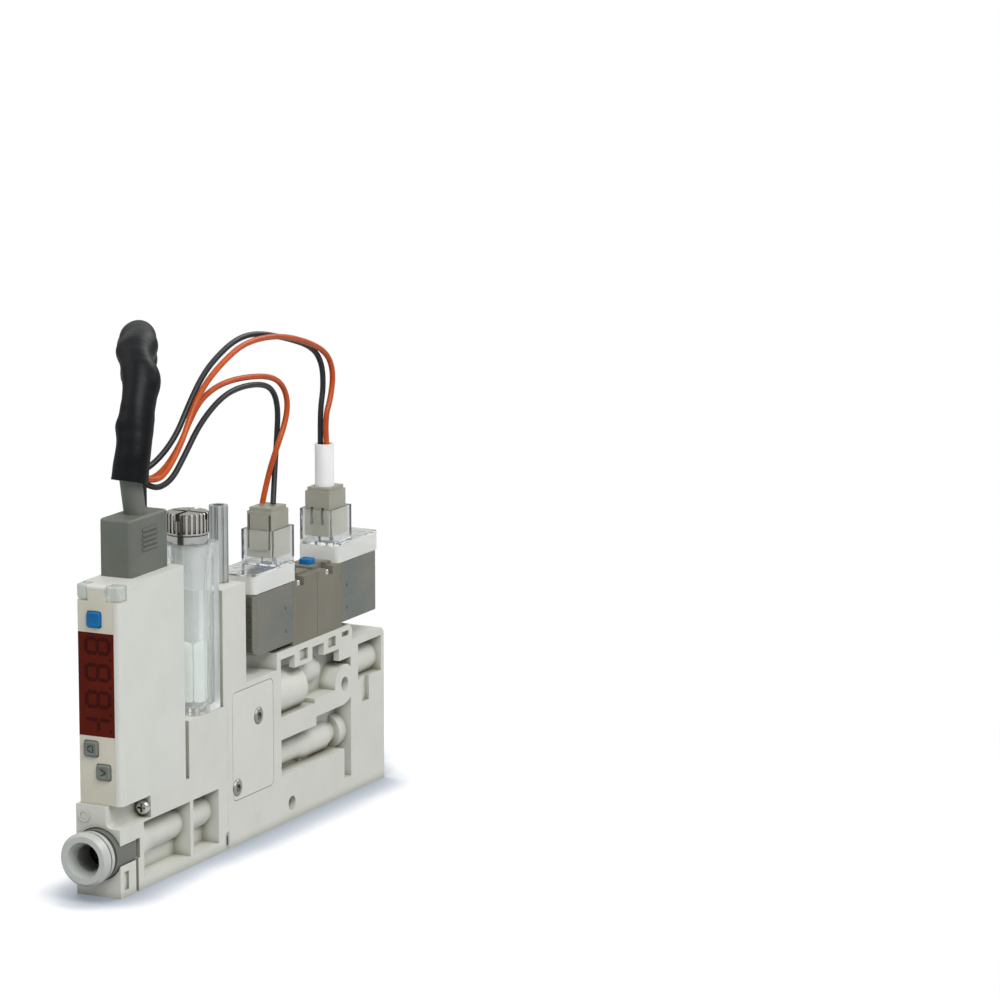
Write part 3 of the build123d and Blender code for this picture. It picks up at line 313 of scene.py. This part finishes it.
def gridFaces(rows, columns, closeColumns=True):
    # quads between neighbouring rows and columns of a grid, wrapping round the columns where they close
    r, c = np.meshgrid(np.arange(rows - 1), np.arange(columns if closeColumns else columns - 1), indexing="ij")
    n = (c + 1) % columns
    return np.stack([r * columns + c, r * columns + n, (r + 1) * columns + n, (r + 1) * columns + c], -1).reshape(-1, 4)


def meshPiece(name, points, faces, finish, smooth=40):
    # smooth is the angle in degrees up to which an edge shades round; the faces are turned to point outwards
    mesh = bpy.data.meshes.new(name)
    mesh.from_pydata(np.asarray(points).tolist(), [], [list(f) for f in faces])
    shell = bmesh.new()
    shell.from_mesh(mesh)
    bmesh.ops.recalc_face_normals(shell, faces=shell.faces)
    shell.to_mesh(mesh)
    shell.free()
    mesh.shade_smooth()
    mesh.set_sharp_from_angle(angle=radians(smooth))
    mesh.materials.append(finishes[finish])
    piece = bpy.data.objects.new(name, mesh)
    bpy.context.scene.collection.objects.link(piece)
    return piece


def join(shells):
    # several (points, faces) shells as one, each shell's faces moved on by the points before it
    start = np.cumsum([0] + [len(p) for p, _ in shells])
    faces = [[i + first for i in face] for (_, own), first in zip(shells, start) for face in own]
    return np.vstack([p for p, _ in shells]), faces


def roundedOutline(halfWide, halfHigh, r, count=32):
    # a circle of radius r whose quadrants are pushed apart to the four corner centres of the rectangle
    a = (np.arange(count) + 0.5) * 2 * pi / count
    x = r * np.cos(a) + (halfWide - r) * np.sign(np.cos(a))
    y = r * np.sin(a) + (halfHigh - r) * np.sign(np.sin(a))
    return np.stack([x, y], -1)


def stacked(outline, rows, middle, axis):
    # the outline drawn in by each row's inset and set at that row's level along the axis; both ends are closed
    half = np.abs(outline).max(0)
    rings = []
    for inset, level in rows:
        flat = outline * (1 - inset / half)
        rings.append(np.insert(flat + middle, axis, level, axis=1))
    count = len(outline)
    last = count * (len(rows) - 1)
    ends = [list(range(count))[::-1], list(range(last, last + count))]
    return np.vstack(rings), gridFaces(len(rows), count).tolist() + ends


def prism(profile, x0, x1):
    # a (y, z) profile carried along X from x0 to x1, closed at both ends
    count = len(profile)
    ends = [np.insert(np.asarray(profile, float), 0, x, axis=1) for x in (x0, x1)]
    return np.vstack(ends), gridFaces(2, count).tolist() + [list(range(count))[::-1], list(range(count, 2 * count))]


def routeCurve(name, points, diameterMm, finish, capped=True):
    # a round cord: the route's points are the control points of one smooth spline
    curve = bpy.data.curves.new(name, "CURVE")
    curve.dimensions, curve.resolution_u, curve.bevel_resolution = "3D", 10, 5
    curve.bevel_depth, curve.use_fill_caps = diameterMm * mm / 2, capped
    line = curve.splines.new("NURBS")
    line.points.add(len(points) - 1)
    flat = np.column_stack([place(points), np.ones(len(points))])
    line.points.foreach_set("co", flat.ravel())
    line.order_u, line.use_endpoint_u = 3, True
    curve.materials.append(finishes[finish])
    piece = bpy.data.objects.new(name, curve)
    bpy.context.scene.collection.objects.link(piece)
    return piece


def linePoints(curvePiece):
    # the spline's own line, read from a copy without its bevel
    bare = bpy.data.objects.new("line", curvePiece.data.copy())
    bare.data.bevel_depth = 0
    mesh = bpy.data.meshes.new_from_object(bare)
    line = np.empty(len(mesh.vertices) * 3)
    mesh.vertices.foreach_get("co", line)
    bpy.data.meshes.remove(mesh)
    bpy.data.curves.remove(bare.data)
    return line.reshape(-1, 3)


# ---- signal cable, its hank and the valve leads ----

cable = {
    "diameter": 4.5,
    "route": [
        (-1.6, 24.2, 123.4), (-0.85, 28.5, 141.4), (-9.25, 42.7, 158.4), (-21.45, 63.3, 158.4),
        (-30.05, 77.7, 141.4), (-30.9, 79.3, 101.0), (-30.3, 78.0, 59.0), (-30.05, 77.7, 17.9),
        (-22.45, 90.9, 2.6), (-11.95, 108.95, 2.6)],
    "hankMiddle": (-31.1, 149.4), "foldCentre": 26.35, "foldRadius": (14.4, 18.9), "layer": 4.5, "lowest": 2.6,
    "limbHalf": 23.4, "turns": 7,
    "lanes": [(1, 0), (0, 0), (0, 1), (1, 1), (1, 2), (0, 2), (0, 3), (1, 3)],  # outer or inner lane, and layer
}


def hankPoints(c):
    # seven turns of a racetrack: four stations on the near limb, six round each fold and seven on the far limb,
    # where each strand steps to its next lane or layer one station later than the strand above it does
    middle, lanes = np.array(c["hankMiddle"]), np.array(c["lanes"])
    near, far = np.linspace(-c["limbHalf"], c["limbHalf"], 4), np.linspace(c["limbHalf"], -c["limbHalf"], 7)
    fold = np.radians(15 + 30 * np.arange(6))
    turn, station = np.meshgrid(np.arange(c["turns"]), np.arange(23), indexing="ij")
    moved = (station >= 16 - turn) | ((turn == c["turns"] - 1) & (station >= 2))
    lane, layer = lanes[np.minimum(turn + moved, len(lanes) - 1)].transpose(2, 0, 1)
    radius = np.array(c["foldRadius"])[lane]
    angle = np.concatenate([np.zeros(4), fold, np.full(7, pi), fold + pi])[station]
    side = np.concatenate([near, np.full(6, c["foldCentre"]), far, np.full(6, -c["foldCentre"])])[station]
    bulge = np.where(np.isin(station, np.r_[4:10, 17:23]), 1 / np.cos(radians(15)), 1.0)
    x = middle[0] + radius * bulge * np.cos(angle)
    y = middle[1] + side + radius * bulge * np.sin(angle)
    points = np.stack([x, y, c["lowest"] + layer * c["layer"]], -1).reshape(-1, 3)
    return points[:-9]  # the cable ends on the far limb, on top


signalCable = routeCurve("signalCable", np.vstack([cable["route"], hankPoints(cable)]), cable["diameter"], "sheathPvc")
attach(signalCable, "body")
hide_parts("signal_cable", "cable_hank")
cableLine = linePoints(signalCable)

sleeve = {
    "radius": 5.3, "below": 2.4, "to": 85.5, "wall": 1.1, "rows": 300, "columns": 56,
    # lumps where the sleeving grips the bundle: mm along it, angle round it, height, half length
    "lumps": [(0.0, 330, 1.3, 4.0), (16.0, 90, 0.9, 3.2), (31.0, 268, 1.5, 5.5), (43.4, 92, 1.4, 4.6),
              (48.4, 262, 0.8, 3.6), (8.0, 200, 0.5, 5.0), (22.0, 150, 0.6, 6.0), (39.0, 265, -0.8, 3.5),
              (27.0, 92, -0.5, 5.5), (34.0, 190, 0.6, 5.0), (55.0, 20, 0.9, 5.0), (62.0, 200, 0.8, 6.0),
              (71.0, 100, 0.9, 4.5), (50.0, 130, -0.6, 4.0), (78.0, 300, 0.7, 4.0), (5.0, 30, 0.5, 4.0),
              (17.0, 330, 0.7, 5.0)],
}


squareTo = (0.861, 0.509, 0.0)  # level direction square to the plane in which the cable bends


def carried(line, start, end, rows):
    # points evenly spaced along a line from start to end, with two unit directions square to it
    reach = np.concatenate([[0], np.linalg.norm(np.diff(line, axis=0), axis=1).cumsum()])
    at = np.linspace(start, end, rows)
    centre = np.stack([np.interp(at, reach, line[:, k]) for k in range(3)], -1)
    tangent = np.gradient(centre, axis=0)
    tangent /= np.linalg.norm(tangent, axis=1, keepdims=True)
    flat = np.cross(tangent, squareTo)
    flat /= np.linalg.norm(flat, axis=1, keepdims=True)
    return at, centre, flat, np.cross(tangent, flat)


def tubeSkin(line, start, end, rows, columns, radiusAt):
    # radius carried round the line: centre + r(s, a) * (cos a * flat + sin a * side)
    at, centre, flat, side = carried(line, start, end, rows)
    a = np.linspace(0, 2 * pi, columns, endpoint=False)
    r = radiusAt(at[:, None], a[None, :])[..., None]
    skin = centre[:, None] + r * (np.cos(a)[None, :, None] * flat[:, None] + np.sin(a)[None, :, None] * side[:, None])
    return skin.reshape(-1, 3), gridFaces(rows, columns)


def crumpled(s, a):
    # sleeving shrunk on an uneven bundle: the sum of its lumps, each a bell along it and round it, and slight creases
    s = s / mm
    far = lambda angle: np.exp(2.2 * (np.cos(a - radians(angle)) - 1))
    bumps = sum(high * np.exp(-((s - at) / long) ** 2) * far(angle) for at, angle, high, long in sleeve["lumps"])
    crease = 0.05 * np.sin(s * 1.3 + 2.1 * np.sin(a + s * 0.13)) * (0.5 + 0.5 * np.sin(a * 2 + s * 0.21))
    return (sleeve["radius"] + bumps + crease + 0.2 * np.sin(2 * a + s * 0.07)) * mm


# the sleeving starts a little below the cable's end, round the boot of the plug
leaving = (cableLine[1] - cableLine[0]) / np.linalg.norm(cableLine[1] - cableLine[0])
sleeveLine = np.vstack([cableLine[0] - leaving * sleeve["below"] * mm, cableLine])
span = (0.0, sleeve["to"] * mm, sleeve["rows"], sleeve["columns"])
skin, faces = tubeSkin(sleeveLine, *span, crumpled)
inner, innerFaces = tubeSkin(sleeveLine, *span, lambda s, a: crumpled(s, a) - sleeve["wall"] * mm)
count, ring = len(skin), np.arange(sleeve["columns"])
turned = (ring + 1) % sleeve["columns"]
rim = np.stack([ring, turned, turned + count, ring + count], -1)
cableSleeve = meshPiece("cableSleeve", np.vstack([skin, inner]),
                        np.vstack([faces, innerFaces + count, rim, rim + count - len(ring)]), "sleevePvc", 70)
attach(cableSleeve, "body")
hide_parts("cable_sleeve")

leads = {
    "releaseRedLead": ("release_red_lead", "redPvc", "lead_red", [
        (0.6, 28.2, 121.5), (1.7, 33.7, 119.6), (2.3, 40.1, 122.3), (2.4, 48.6, 129.9), (2.3, 54.8, 138.4),
        (2.2, 62.4, 144.7), (1.8, 74.7, 150.0), (1.4, 89.4, 153.9), (1.0, 110.0, 153.1), (0.8, 128.5, 148.8),
        (0.8, 142.7, 143.2), (0.8, 147.3, 136.3), (0.9, 145.2, 128.1), (1.0, 141.1, 122.3), (1.1, 142.2, 109.2),
        (1.1, 142.4, 100.6)]),
    "releaseBlackLead": ("release_black_lead", "blackPvc", "lead_black", [
        (-5.4, 26.6, 121.9), (-4.9, 34.0, 121.3), (-1.5, 39.8, 124.5), (-0.4, 49.3, 130.7), (-0.2, 56.4, 138.7),
        (-0.3, 64.5, 146.0), (-0.5, 72.8, 150.5), (-0.8, 86.7, 154.9), (-1.0, 100.8, 155.1), (-1.2, 121.8, 150.2),
        (-1.2, 137.3, 145.3), (-1.2, 143.4, 139.3), (-1.2, 144.2, 131.4), (-1.2, 142.1, 125.0),
        (-1.1, 141.7, 112.6), (-1.1, 142.0, 100.6)]),
    "supplyRedLead": ("supply_red_lead", "redPvc", "lead_red", [
        (-3.2, 28.2, 121.5), (-2.7, 35.2, 119.1), (-1.1, 42.5, 120.9), (-0.4, 51.7, 127.5), (-0.4, 57.5, 134.0),
        (0.2, 63.1, 139.7), (0.8, 72.0, 142.7), (1.3, 83.7, 143.4), (1.6, 100.5, 141.9), (1.7, 110.4, 138.8),
        (1.7, 115.4, 132.8), (1.7, 114.4, 126.0), (1.2, 108.8, 117.6), (-0.7, 106.6, 109.2), (-1.7, 104.6, 100.6)]),
    "supplyBlackLead": ("supply_black_lead", "blackPvc", "lead_black", [
        (-1.3, 28.6, 121.3), (0.6, 33.1, 117.1), (2.9, 40.1, 118.5), (3.0, 48.5, 125.2), (2.6, 58.8, 133.5),
        (2.4, 72.4, 139.5), (2.3, 85.2, 140.9), (1.4, 100.9, 139.2), (0.6, 108.8, 135.4), (-0.1, 112.4, 129.1),
        (-0.5, 112.1, 120.4), (0.2, 109.3, 110.2), (1.7, 105.4, 100.6)]),
}
leadDiameter = 1.8
for name, (node, finish, slot, points) in leads.items():
    lead = routeCurve(name, points, leadDiameter, finish)
    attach(lead, "body")
    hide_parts(node)
    line = linePoints(lead)

tie = {"y": 149.4, "low": 0.04, "high": 18.68, "near": -9.4, "far": -52.8, "width": 9.0, "thick": 0.28, "corner": 3.2}


def bandSkin(t):
    # a closed strap: a rounded rectangle round both limbs, carried across its width, with a thin wall
    middle = ((t["near"] + t["far"]) / 2, (t["low"] + t["high"]) / 2)
    halfX, halfZ = (t["near"] - t["far"]) / 2, (t["high"] - t["low"]) / 2
    outline = roundedOutline(halfX, halfZ, t["corner"], 64)
    thin = roundedOutline(halfX - t["thick"], halfZ - t["thick"], t["corner"] - t["thick"], 64)
    rows = [(thin, -0.5), (thin, 0.5), (outline, 0.5), (outline, -0.5)]
    rings = [np.insert(flat + middle, 1, t["y"] + u * t["width"], axis=1) for flat, u in rows]
    faces = gridFaces(5, 64)
    return np.vstack(rings), faces % (4 * 64)


points, faces = bandSkin(tie)
hankTie = meshPiece("hankTie", place(points), faces, "nitrile", 30)
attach(hankTie, "body")

# three bare cores: how far along the cable's heading each station lies, and how far from its middle
cores = {"diameter": 1.15, "reach": (-2.0, 0.5, 3.0, 5.5, 7.5), "apart": (0.95, 0.95, 1.06, 1.28, 1.5),
         "finishes": ("brownPvc", "bluePvc", "blackPvc")}
cableEnd = cableLine[-1] / mm + (0, noseY, 0)
heading = (cableLine[-1] - cableLine[-3]) / np.linalg.norm(cableLine[-1] - cableLine[-3])
across = np.cross(heading, (0, 0, 1.0))
for k, finish in enumerate(cores["finishes"]):
    a = 2 * pi * k / 3 + 0.5
    out = np.cos(a) * across + np.sin(a) * np.array((0, 0, 1.0))
    reach, apart = np.array(cores["reach"])[:, None], np.array(cores["apart"])[:, None]
    core = routeCurve("cableCore%d" % (k + 1), cableEnd + reach * heading + apart * out, cores["diameter"], finish)
    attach(core, "body")
print("cords")


# ---- pressure switch face ----

keys = {
    "half": 2.35, "corner": 0.85, "shift": 0.25, "opening": 2.89, "clear": 0.22,
    "rows": [(0.0, 6.2), (0.0, 3.75), (-0.7, 3.75), (-0.7, 3.05), (0.0, 3.05), (0.0, 1.3), (0.05, 1.02),
             (0.2, 0.82), (0.42, 0.73), (0.7, 0.72), (0.95, 0.80), (1.3, 0.93), (1.8, 1.0), (2.3, 1.02)],
    "places": {"setKey": ("set_button", -1.5, 83.6, "blueAbs", "button_blue"),
               "upKey": ("up_button", -3.1, 44.4, "greyAbs", "button_grey"),
               "downKey": ("down_button", 1.1, 37.6, "greyAbs", "button_grey")},
}
collars = []
for name, (node, x, z, finish, slot) in keys["places"].items():
    # a key: a rounded square drawn in row by row, over its round edge and down into the dished face
    outline = roundedOutline(keys["half"], keys["half"], keys["corner"], 40)
    points, faces = stacked(outline, keys["rows"], (x + keys["shift"], z), 1)
    key = meshPiece(name, place(points), faces, finish, 50)
    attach(key, node)
    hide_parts(node)
    # the panel's opening is wider than the key: a flush collar carried back through the panel closes it
    near = keys["half"] + keys["clear"]
    inner = roundedOutline(near, near, keys["corner"], 40) + (x + keys["shift"], z)
    outer = roundedOutline(keys["opening"], keys["opening"], 0.9, 40) + (x, z)
    rings = [np.insert(ring, 1, y, axis=1) for ring, y in ((inner, 1.61), (outer, 1.61), (outer, 2.88), (inner, 2.88))]
    collars.append((np.vstack(rings), (gridFaces(5, 40) % 160).tolist()))
points, faces = join(collars)
keyCollars = meshPiece("keyCollars", place(points), faces, "panelAbs", 30)
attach(keyCollars, "body")


def strokes(lines, thick, front, back, taper=1.0):
    # flat bars in the XZ plane, each a six-sided plate along its line, from the front face to the back one
    lines = np.asarray(lines, float)
    middle, run = (lines[:, :2] + lines[:, 2:]) / 2, lines[:, 2:] - lines[:, :2]
    long = np.linalg.norm(run, axis=1, keepdims=True)
    along, aside = run / long, np.column_stack([-run[:, 1], run[:, 0]]) / long
    ends = np.array([(1, 0), (1, 1), (-1, 1), (-1, 0), (-1, -1), (1, -1)], float)
    inset = np.where(ends[:, 1] == 0, 0, taper * thick / 2)
    reach = ends[None, :, 0] * (long / 2 - inset[None, :])
    flat = middle[:, None] + reach[..., None] * along[:, None] + ends[None, :, 1, None] * thick / 2 * aside[:, None]
    points = np.stack([np.insert(flat, 1, y, axis=2) for y in (front, back)], 1)
    base = (np.arange(len(lines)) * 12)[:, None, None]
    k = np.arange(6)
    sides = np.stack([k, (k + 1) % 6, (k + 1) % 6 + 6, k + 6], -1)[None] + base
    caps = np.stack([k, k[::-1] + 6])[None] + base
    return points.reshape(-1, 3), sides.reshape(-1, 4).tolist() + caps.reshape(-1, 6).tolist()


display = {"digits": (75.7, 67.7, 59.5), "left": -4.15, "right": 3.65, "half": 2.15, "stroke": 1.2, "gap": 0.12,
           "points": ((4.05, 71.7), (4.1, 63.4), (4.0, 55.1), (3.95, 50.1)), "halfDigit": (53.4, -0.2, 49.8),
           "front": 1.57, "back": 1.62}


def digitBars(d, z):
    # seven bars of one digit lying on its side: three along Z and four along X
    mid, g = (d["left"] + d["right"]) / 2, d["gap"]
    cross = [(x, z - d["half"] + g, x, z + d["half"] - g) for x in (d["left"], mid, d["right"])]
    runs = [(a + g, z + s * d["half"], b - g, z + s * d["half"]) for a, b in ((d["left"], mid), (mid, d["right"]))
            for s in (-1, 1)]
    return cross + runs


bars = [bar for z in display["digits"] for bar in digitBars(display, z)]
barZ, minusX, minusZ = display["halfDigit"]
bars += [(-4.6, barZ, minusX - 0.15, barZ), (minusX + 0.15, barZ, 3.7, barZ), (minusX, barZ - 0.5, minusX, minusZ)]
bars += [(x - 0.55, z, x + 0.55, z) for x, z in display["points"]]
points, faces = strokes(bars, display["stroke"], display["front"], display["back"], 0.8)
segments = meshPiece("displaySegments", place(points), faces, "segmentPmma", 20)
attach(segments, "body")

marks = {"upMark": ("up_button", [(-4.33, 44.46), (-2.05, 45.9), (-2.0, 42.97)]),
         "downMark": ("down_button", [(2.41, 37.6), (-0.05, 38.95), (-0.1, 36.2)])}
for name, (node, corners) in marks.items():
    triangle = [(*corners[k], *corners[(k + 1) % 3]) for k in range(3)]
    points, faces = strokes(triangle, 0.42, 0.90, 1.04, 0.5)
    mark = meshPiece(name, place(points), faces, "markInk", 20)
    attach(mark, node)

cap = {"y": (1.62, 6.05), "rows": [(1.3, 89.07), (0.7, 89.15), (0.3, 89.4), (0.08, 89.85), (0.0, 90.4), (0.0, 93.45),
                                   (0.1, 93.66), (0.35, 93.77)], "lumps": ((-7.45, -3.3), (2.45, 7.45)), "corner": 1.4}
shells = []
for x0, x1 in cap["lumps"]:
    # a corner light guide: a rounded block that narrows towards its lower edge
    outline = roundedOutline((x1 - x0) / 2, (cap["y"][1] - cap["y"][0]) / 2, cap["corner"], 40)
    shells.append(stacked(outline, cap["rows"], ((x0 + x1) / 2, sum(cap["y"]) / 2), 2))
points, faces = join(shells)
lightCap = meshPiece("lightCap", place(points), faces, "milkyPc", 50)
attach(lightCap, "body")
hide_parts("light_cap")

# (y, z) profile of the case's front edge between the two light guides
brow = [(2.25, 89.02), (2.25, 92.65), (1.62, 92.65), (1.62, 93.25), (1.7, 93.5), (1.9, 93.7), (2.15, 93.79),
        (6.1, 93.8), (6.1, 89.02)]
points, faces = prism(brow, -3.6, 2.75)
caseBrow = meshPiece("caseBrow", place(points), faces, "caseAbs", 30)
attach(caseBrow, "body")
print("switch face")


# ---- valve boards and plug terminals ----

boardParts = {
    "level": 77.9,
    "packages": [(-2.4, 28.6, 2.0, 2.6, 1.2), (1.2, 34.6, 1.9, 1.4, 1.1), (-3.6, 20.6, 1.3, 1.0, 0.9)],
    "chips": [(3.9, 17.4, 1.0, 0.6), (-0.2, 16.6, 0.9, 0.5), (3.8, 22.6, 0.6, 1.0), (0.4, 24.4, 1.0, 0.6),
              (2.6, 28.0, 1.0, 0.6), (4.6, 30.6, 0.5, 0.9), (-4.9, 33.2, 0.5, 0.9), (4.4, 36.4, 0.6, 1.0),
              (-2.6, 36.8, 1.0, 0.6), (-0.4, 38.4, 0.9, 0.5), (-4.6, 25.0, 0.5, 0.9)],
    "slim": 0.66, "tall": 0.55, "endTall": 0.6, "endAt": 0.8, "endLong": 0.22,  # a chip's body and its two tinned ends
    "terminals": {"x": (-1.9, 1.9), "half": 0.4, "z": (88.35, 93.6), "depth": 0.75, "windowFloor": 15.1},
}


def chip(x, y, halfX, halfY, low, high):
    # a small block: a rounded rectangle drawn in slightly at its foot and over its top edge
    rise = high - low
    rows = [(0.04, low), (0.0, low + 0.1 * rise), (0.0, low + 0.75 * rise), (0.08, low + 0.93 * rise), (0.22, high)]
    return stacked(roundedOutline(halfX, halfY, 0.15, 16), rows, (x, y), 2)


def terminalStrip(x, y, facing, t):
    # a sprung tongue: its face bulges out of the window by depth * sin^2 along its height
    z = np.linspace(*t["z"], 24)
    share = (z - t["z"][0]) / (t["z"][1] - t["z"][0])
    face = y + facing * (0.35 + t["depth"] * np.sin(pi * share) ** 2 * (0.55 + 0.45 * share))
    front = np.column_stack([face, z])
    back = np.column_stack([face - facing * 0.22, z])[::-1]
    return prism(np.vstack([front, back]), x - t["half"], x + t["half"])


for valve, side in (("supply", -1), ("release", 1)):
    low, slim, tall = boardParts["level"], boardParts["slim"], boardParts["tall"]
    endAt, endLong, endTall = boardParts["endAt"], boardParts["endLong"], boardParts["endTall"]
    packages = [chip(x, valveMidY + side * u, a, b, low, low + h) for x, u, a, b, h in boardParts["packages"]]
    bodies = [chip(x, valveMidY + side * u, a * slim, b, low, low + tall) if a > b else
              chip(x, valveMidY + side * u, a, b * slim, low, low + tall) for x, u, a, b in boardParts["chips"]]
    ends = [chip(x + s * a * endAt, valveMidY + side * u, a * endLong, b, low, low + endTall) if a > b else
            chip(x, valveMidY + side * u + s * b * endAt, a, b * endLong, low, low + endTall)
            for x, u, a, b in boardParts["chips"] for s in (-1, 1)]
    t = boardParts["terminals"]
    windowFloor = valveMidY + side * t["windowFloor"]
    strips = [terminalStrip(x, windowFloor, -side, t) for x in t["x"]]
    for name, shells, finish, slot in (("Packages", packages, "chipEpoxy", "circuit_board"),
                                       ("Chips", bodies, "chipCeramic", "circuit_board"),
                                       ("ChipEnds", ends, "tinPlate", "circuit_board"),
                                       ("Terminals", strips, "tinPlate", "stainless")):
        points, faces = join(shells)
        part = meshPiece(valve + name, place(points), faces, finish)
        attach(part, "body")
print("valve details")


# ---- floor, light and camera ----

# the floor's tint and reach entries set its painted contact shadow, an emission darkened by ambient occlusion near the
# object
studio = {"worldLight": 0.42, "floor": "C9CBCE", "keyWatts": 35, "fillWatts": 6, "rimWatts": 8,
          "shadow": "62656B", "paintedShadowTint": "7A8088", "paintedShadowReachMm": 20.0, "white": (0.16, 0.30)}

world = bpy.data.worlds.new("studio")
bpy.context.scene.world = world
world.use_nodes = True
tree = world.node_tree
tree.nodes.clear()
path = addNode(tree, "LightPath")
seen = addNode(tree, "Math", None, {0: path.outputs["Is Camera Ray"], 1: path.outputs["Is Transmission Ray"]},
               operation="MAXIMUM")
soft = addNode(tree, "Background", {"Color": linear("FFFFFF"), "Strength": studio["worldLight"]})
white = addNode(tree, "Background", {"Color": linear("FFFFFF"), "Strength": 1.0})
# what gloss sees: a pale room that is darker towards its walls, so that bright metal has something to show
height = addNode(tree, "SeparateXYZ", None, {"Vector": addNode(tree, "TexCoord").outputs["Generated"]})
room = addNode(tree, "Background", {"Strength": 1.0}, {"Color": ramp(tree, height.outputs["Z"], [
    (0.0, linear("8E8D88")), (0.16, linear("A9AAA6")), (0.42, linear("F2F3F3")), (1.0, linear("FFFFFF"))])})
mix = addNode(tree, "MixShader", None, {0: path.outputs["Is Glossy Ray"], 1: soft.outputs[0], 2: room.outputs[0]})
mix = addNode(tree, "MixShader", None, {0: seen.outputs[0], 1: mix.outputs[0], 2: white.outputs[0]})
addNode(tree, "OutputWorld", None, {"Surface": mix.outputs[0]})

# the floor is white to the camera from a little way out; near the object it takes the lamps' real shadow in a faint
# diffuse part, and over it a cool, soft painted shadow: an emission darkened by ambient occlusion
floorPaint, tree, out, spot = newMaterial("floorPaint")
plain = addNode(tree, "BsdfDiffuse", {"Color": linear(studio["floor"])})
shade = addNode(tree, "BsdfDiffuse", {"Color": linear(studio["shadow"])})
# painted shadow: ambient occlusion picks the emission colour, from the shadow tint near the object to white further out
paintedShadowAo = addNode(tree, "AmbientOcclusion", {"Distance": studio["paintedShadowReachMm"] * mm}, samples=24)
paintedShadow = ramp(tree, paintedShadowAo.outputs["AO"], [(0.42, linear(studio["paintedShadowTint"])), (0.72, linear("B6BBC2")),
                                       (0.94, linear("FFFFFF"))])
paintedShadowGlow = addNode(tree, "Emission", {"Strength": 0.96}, {"Color": paintedShadow})
near = addNode(tree, "AddShader", None, {0: shade.outputs[0], 1: paintedShadowGlow.outputs[0]})
bright = addNode(tree, "Emission", {"Color": linear("FFFFFF"), "Strength": 1.0})
far = addNode(tree, "VectorMath", None, {0: spot}, operation="LENGTH")
away = addNode(tree, "MapRange", {"From Min": studio["white"][0], "From Max": studio["white"][1]},
               {"Value": far.outputs["Value"]}, interpolation_type="SMOOTHSTEP")
both = addNode(tree, "MixShader", None, {0: away.outputs["Result"], 1: near.outputs[0], 2: bright.outputs[0]})
path = addNode(tree, "LightPath")
mix = addNode(tree, "MixShader", None, {0: path.outputs["Is Camera Ray"], 1: plain.outputs[0], 2: both.outputs[0]})
tree.links.new(mix.outputs[0], out.inputs["Surface"])
floorMesh = bpy.data.meshes.new("floor")
floorMesh.from_pydata([(-6, -6, 0), (6, -6, 0), (6, 6, 0), (-6, 6, 0)], [], [(0, 1, 2, 3)])
floorMesh.materials.append(floorPaint)
floor = bpy.data.objects.new("floor", floorMesh)
bpy.context.scene.collection.objects.link(floor)


def softbox(name, at, size, watts):
    light = bpy.data.lights.new(name, "AREA")
    light.shape, light.size, light.size_y, light.energy = "RECTANGLE", size[0], size[1], watts
    lamp = bpy.data.objects.new(name, light)
    lamp.location = at
    lamp.rotation_euler = (Vector((0, 0, 0.07)) - Vector(at)).to_track_quat("-Z", "Y").to_euler()
    bpy.context.scene.collection.objects.link(lamp)


softbox("keyLight", (1.15, -0.7, 1.6), (1.2, 1.2), studio["keyWatts"])
softbox("fillLight", (-1.2, -0.9, 1.2), (1.4, 1.4), studio["fillWatts"])
softbox("rimLight", (0.3, 1.6, 1.2), (1.2, 0.8), studio["rimWatts"])

view = {"at": (0.74367, -1.31298, 0.39354), "tilt": 79.2, "turn": 26.35, "lens": 180.0}
cameraData = bpy.data.cameras.new("camera")
cameraData.lens, cameraData.sensor_width, cameraData.clip_end = view["lens"], 36.0, 50.0
camera = bpy.data.objects.new("camera", cameraData)
camera.location = view["at"]
camera.rotation_euler = (radians(view["tilt"]), 0, radians(view["turn"]))
bpy.context.scene.collection.objects.link(camera)
bpy.context.scene.camera = camera
bpy.context.scene.view_settings.view_transform = "Standard"
print("light and camera")

bpy.context.view_layer.update()
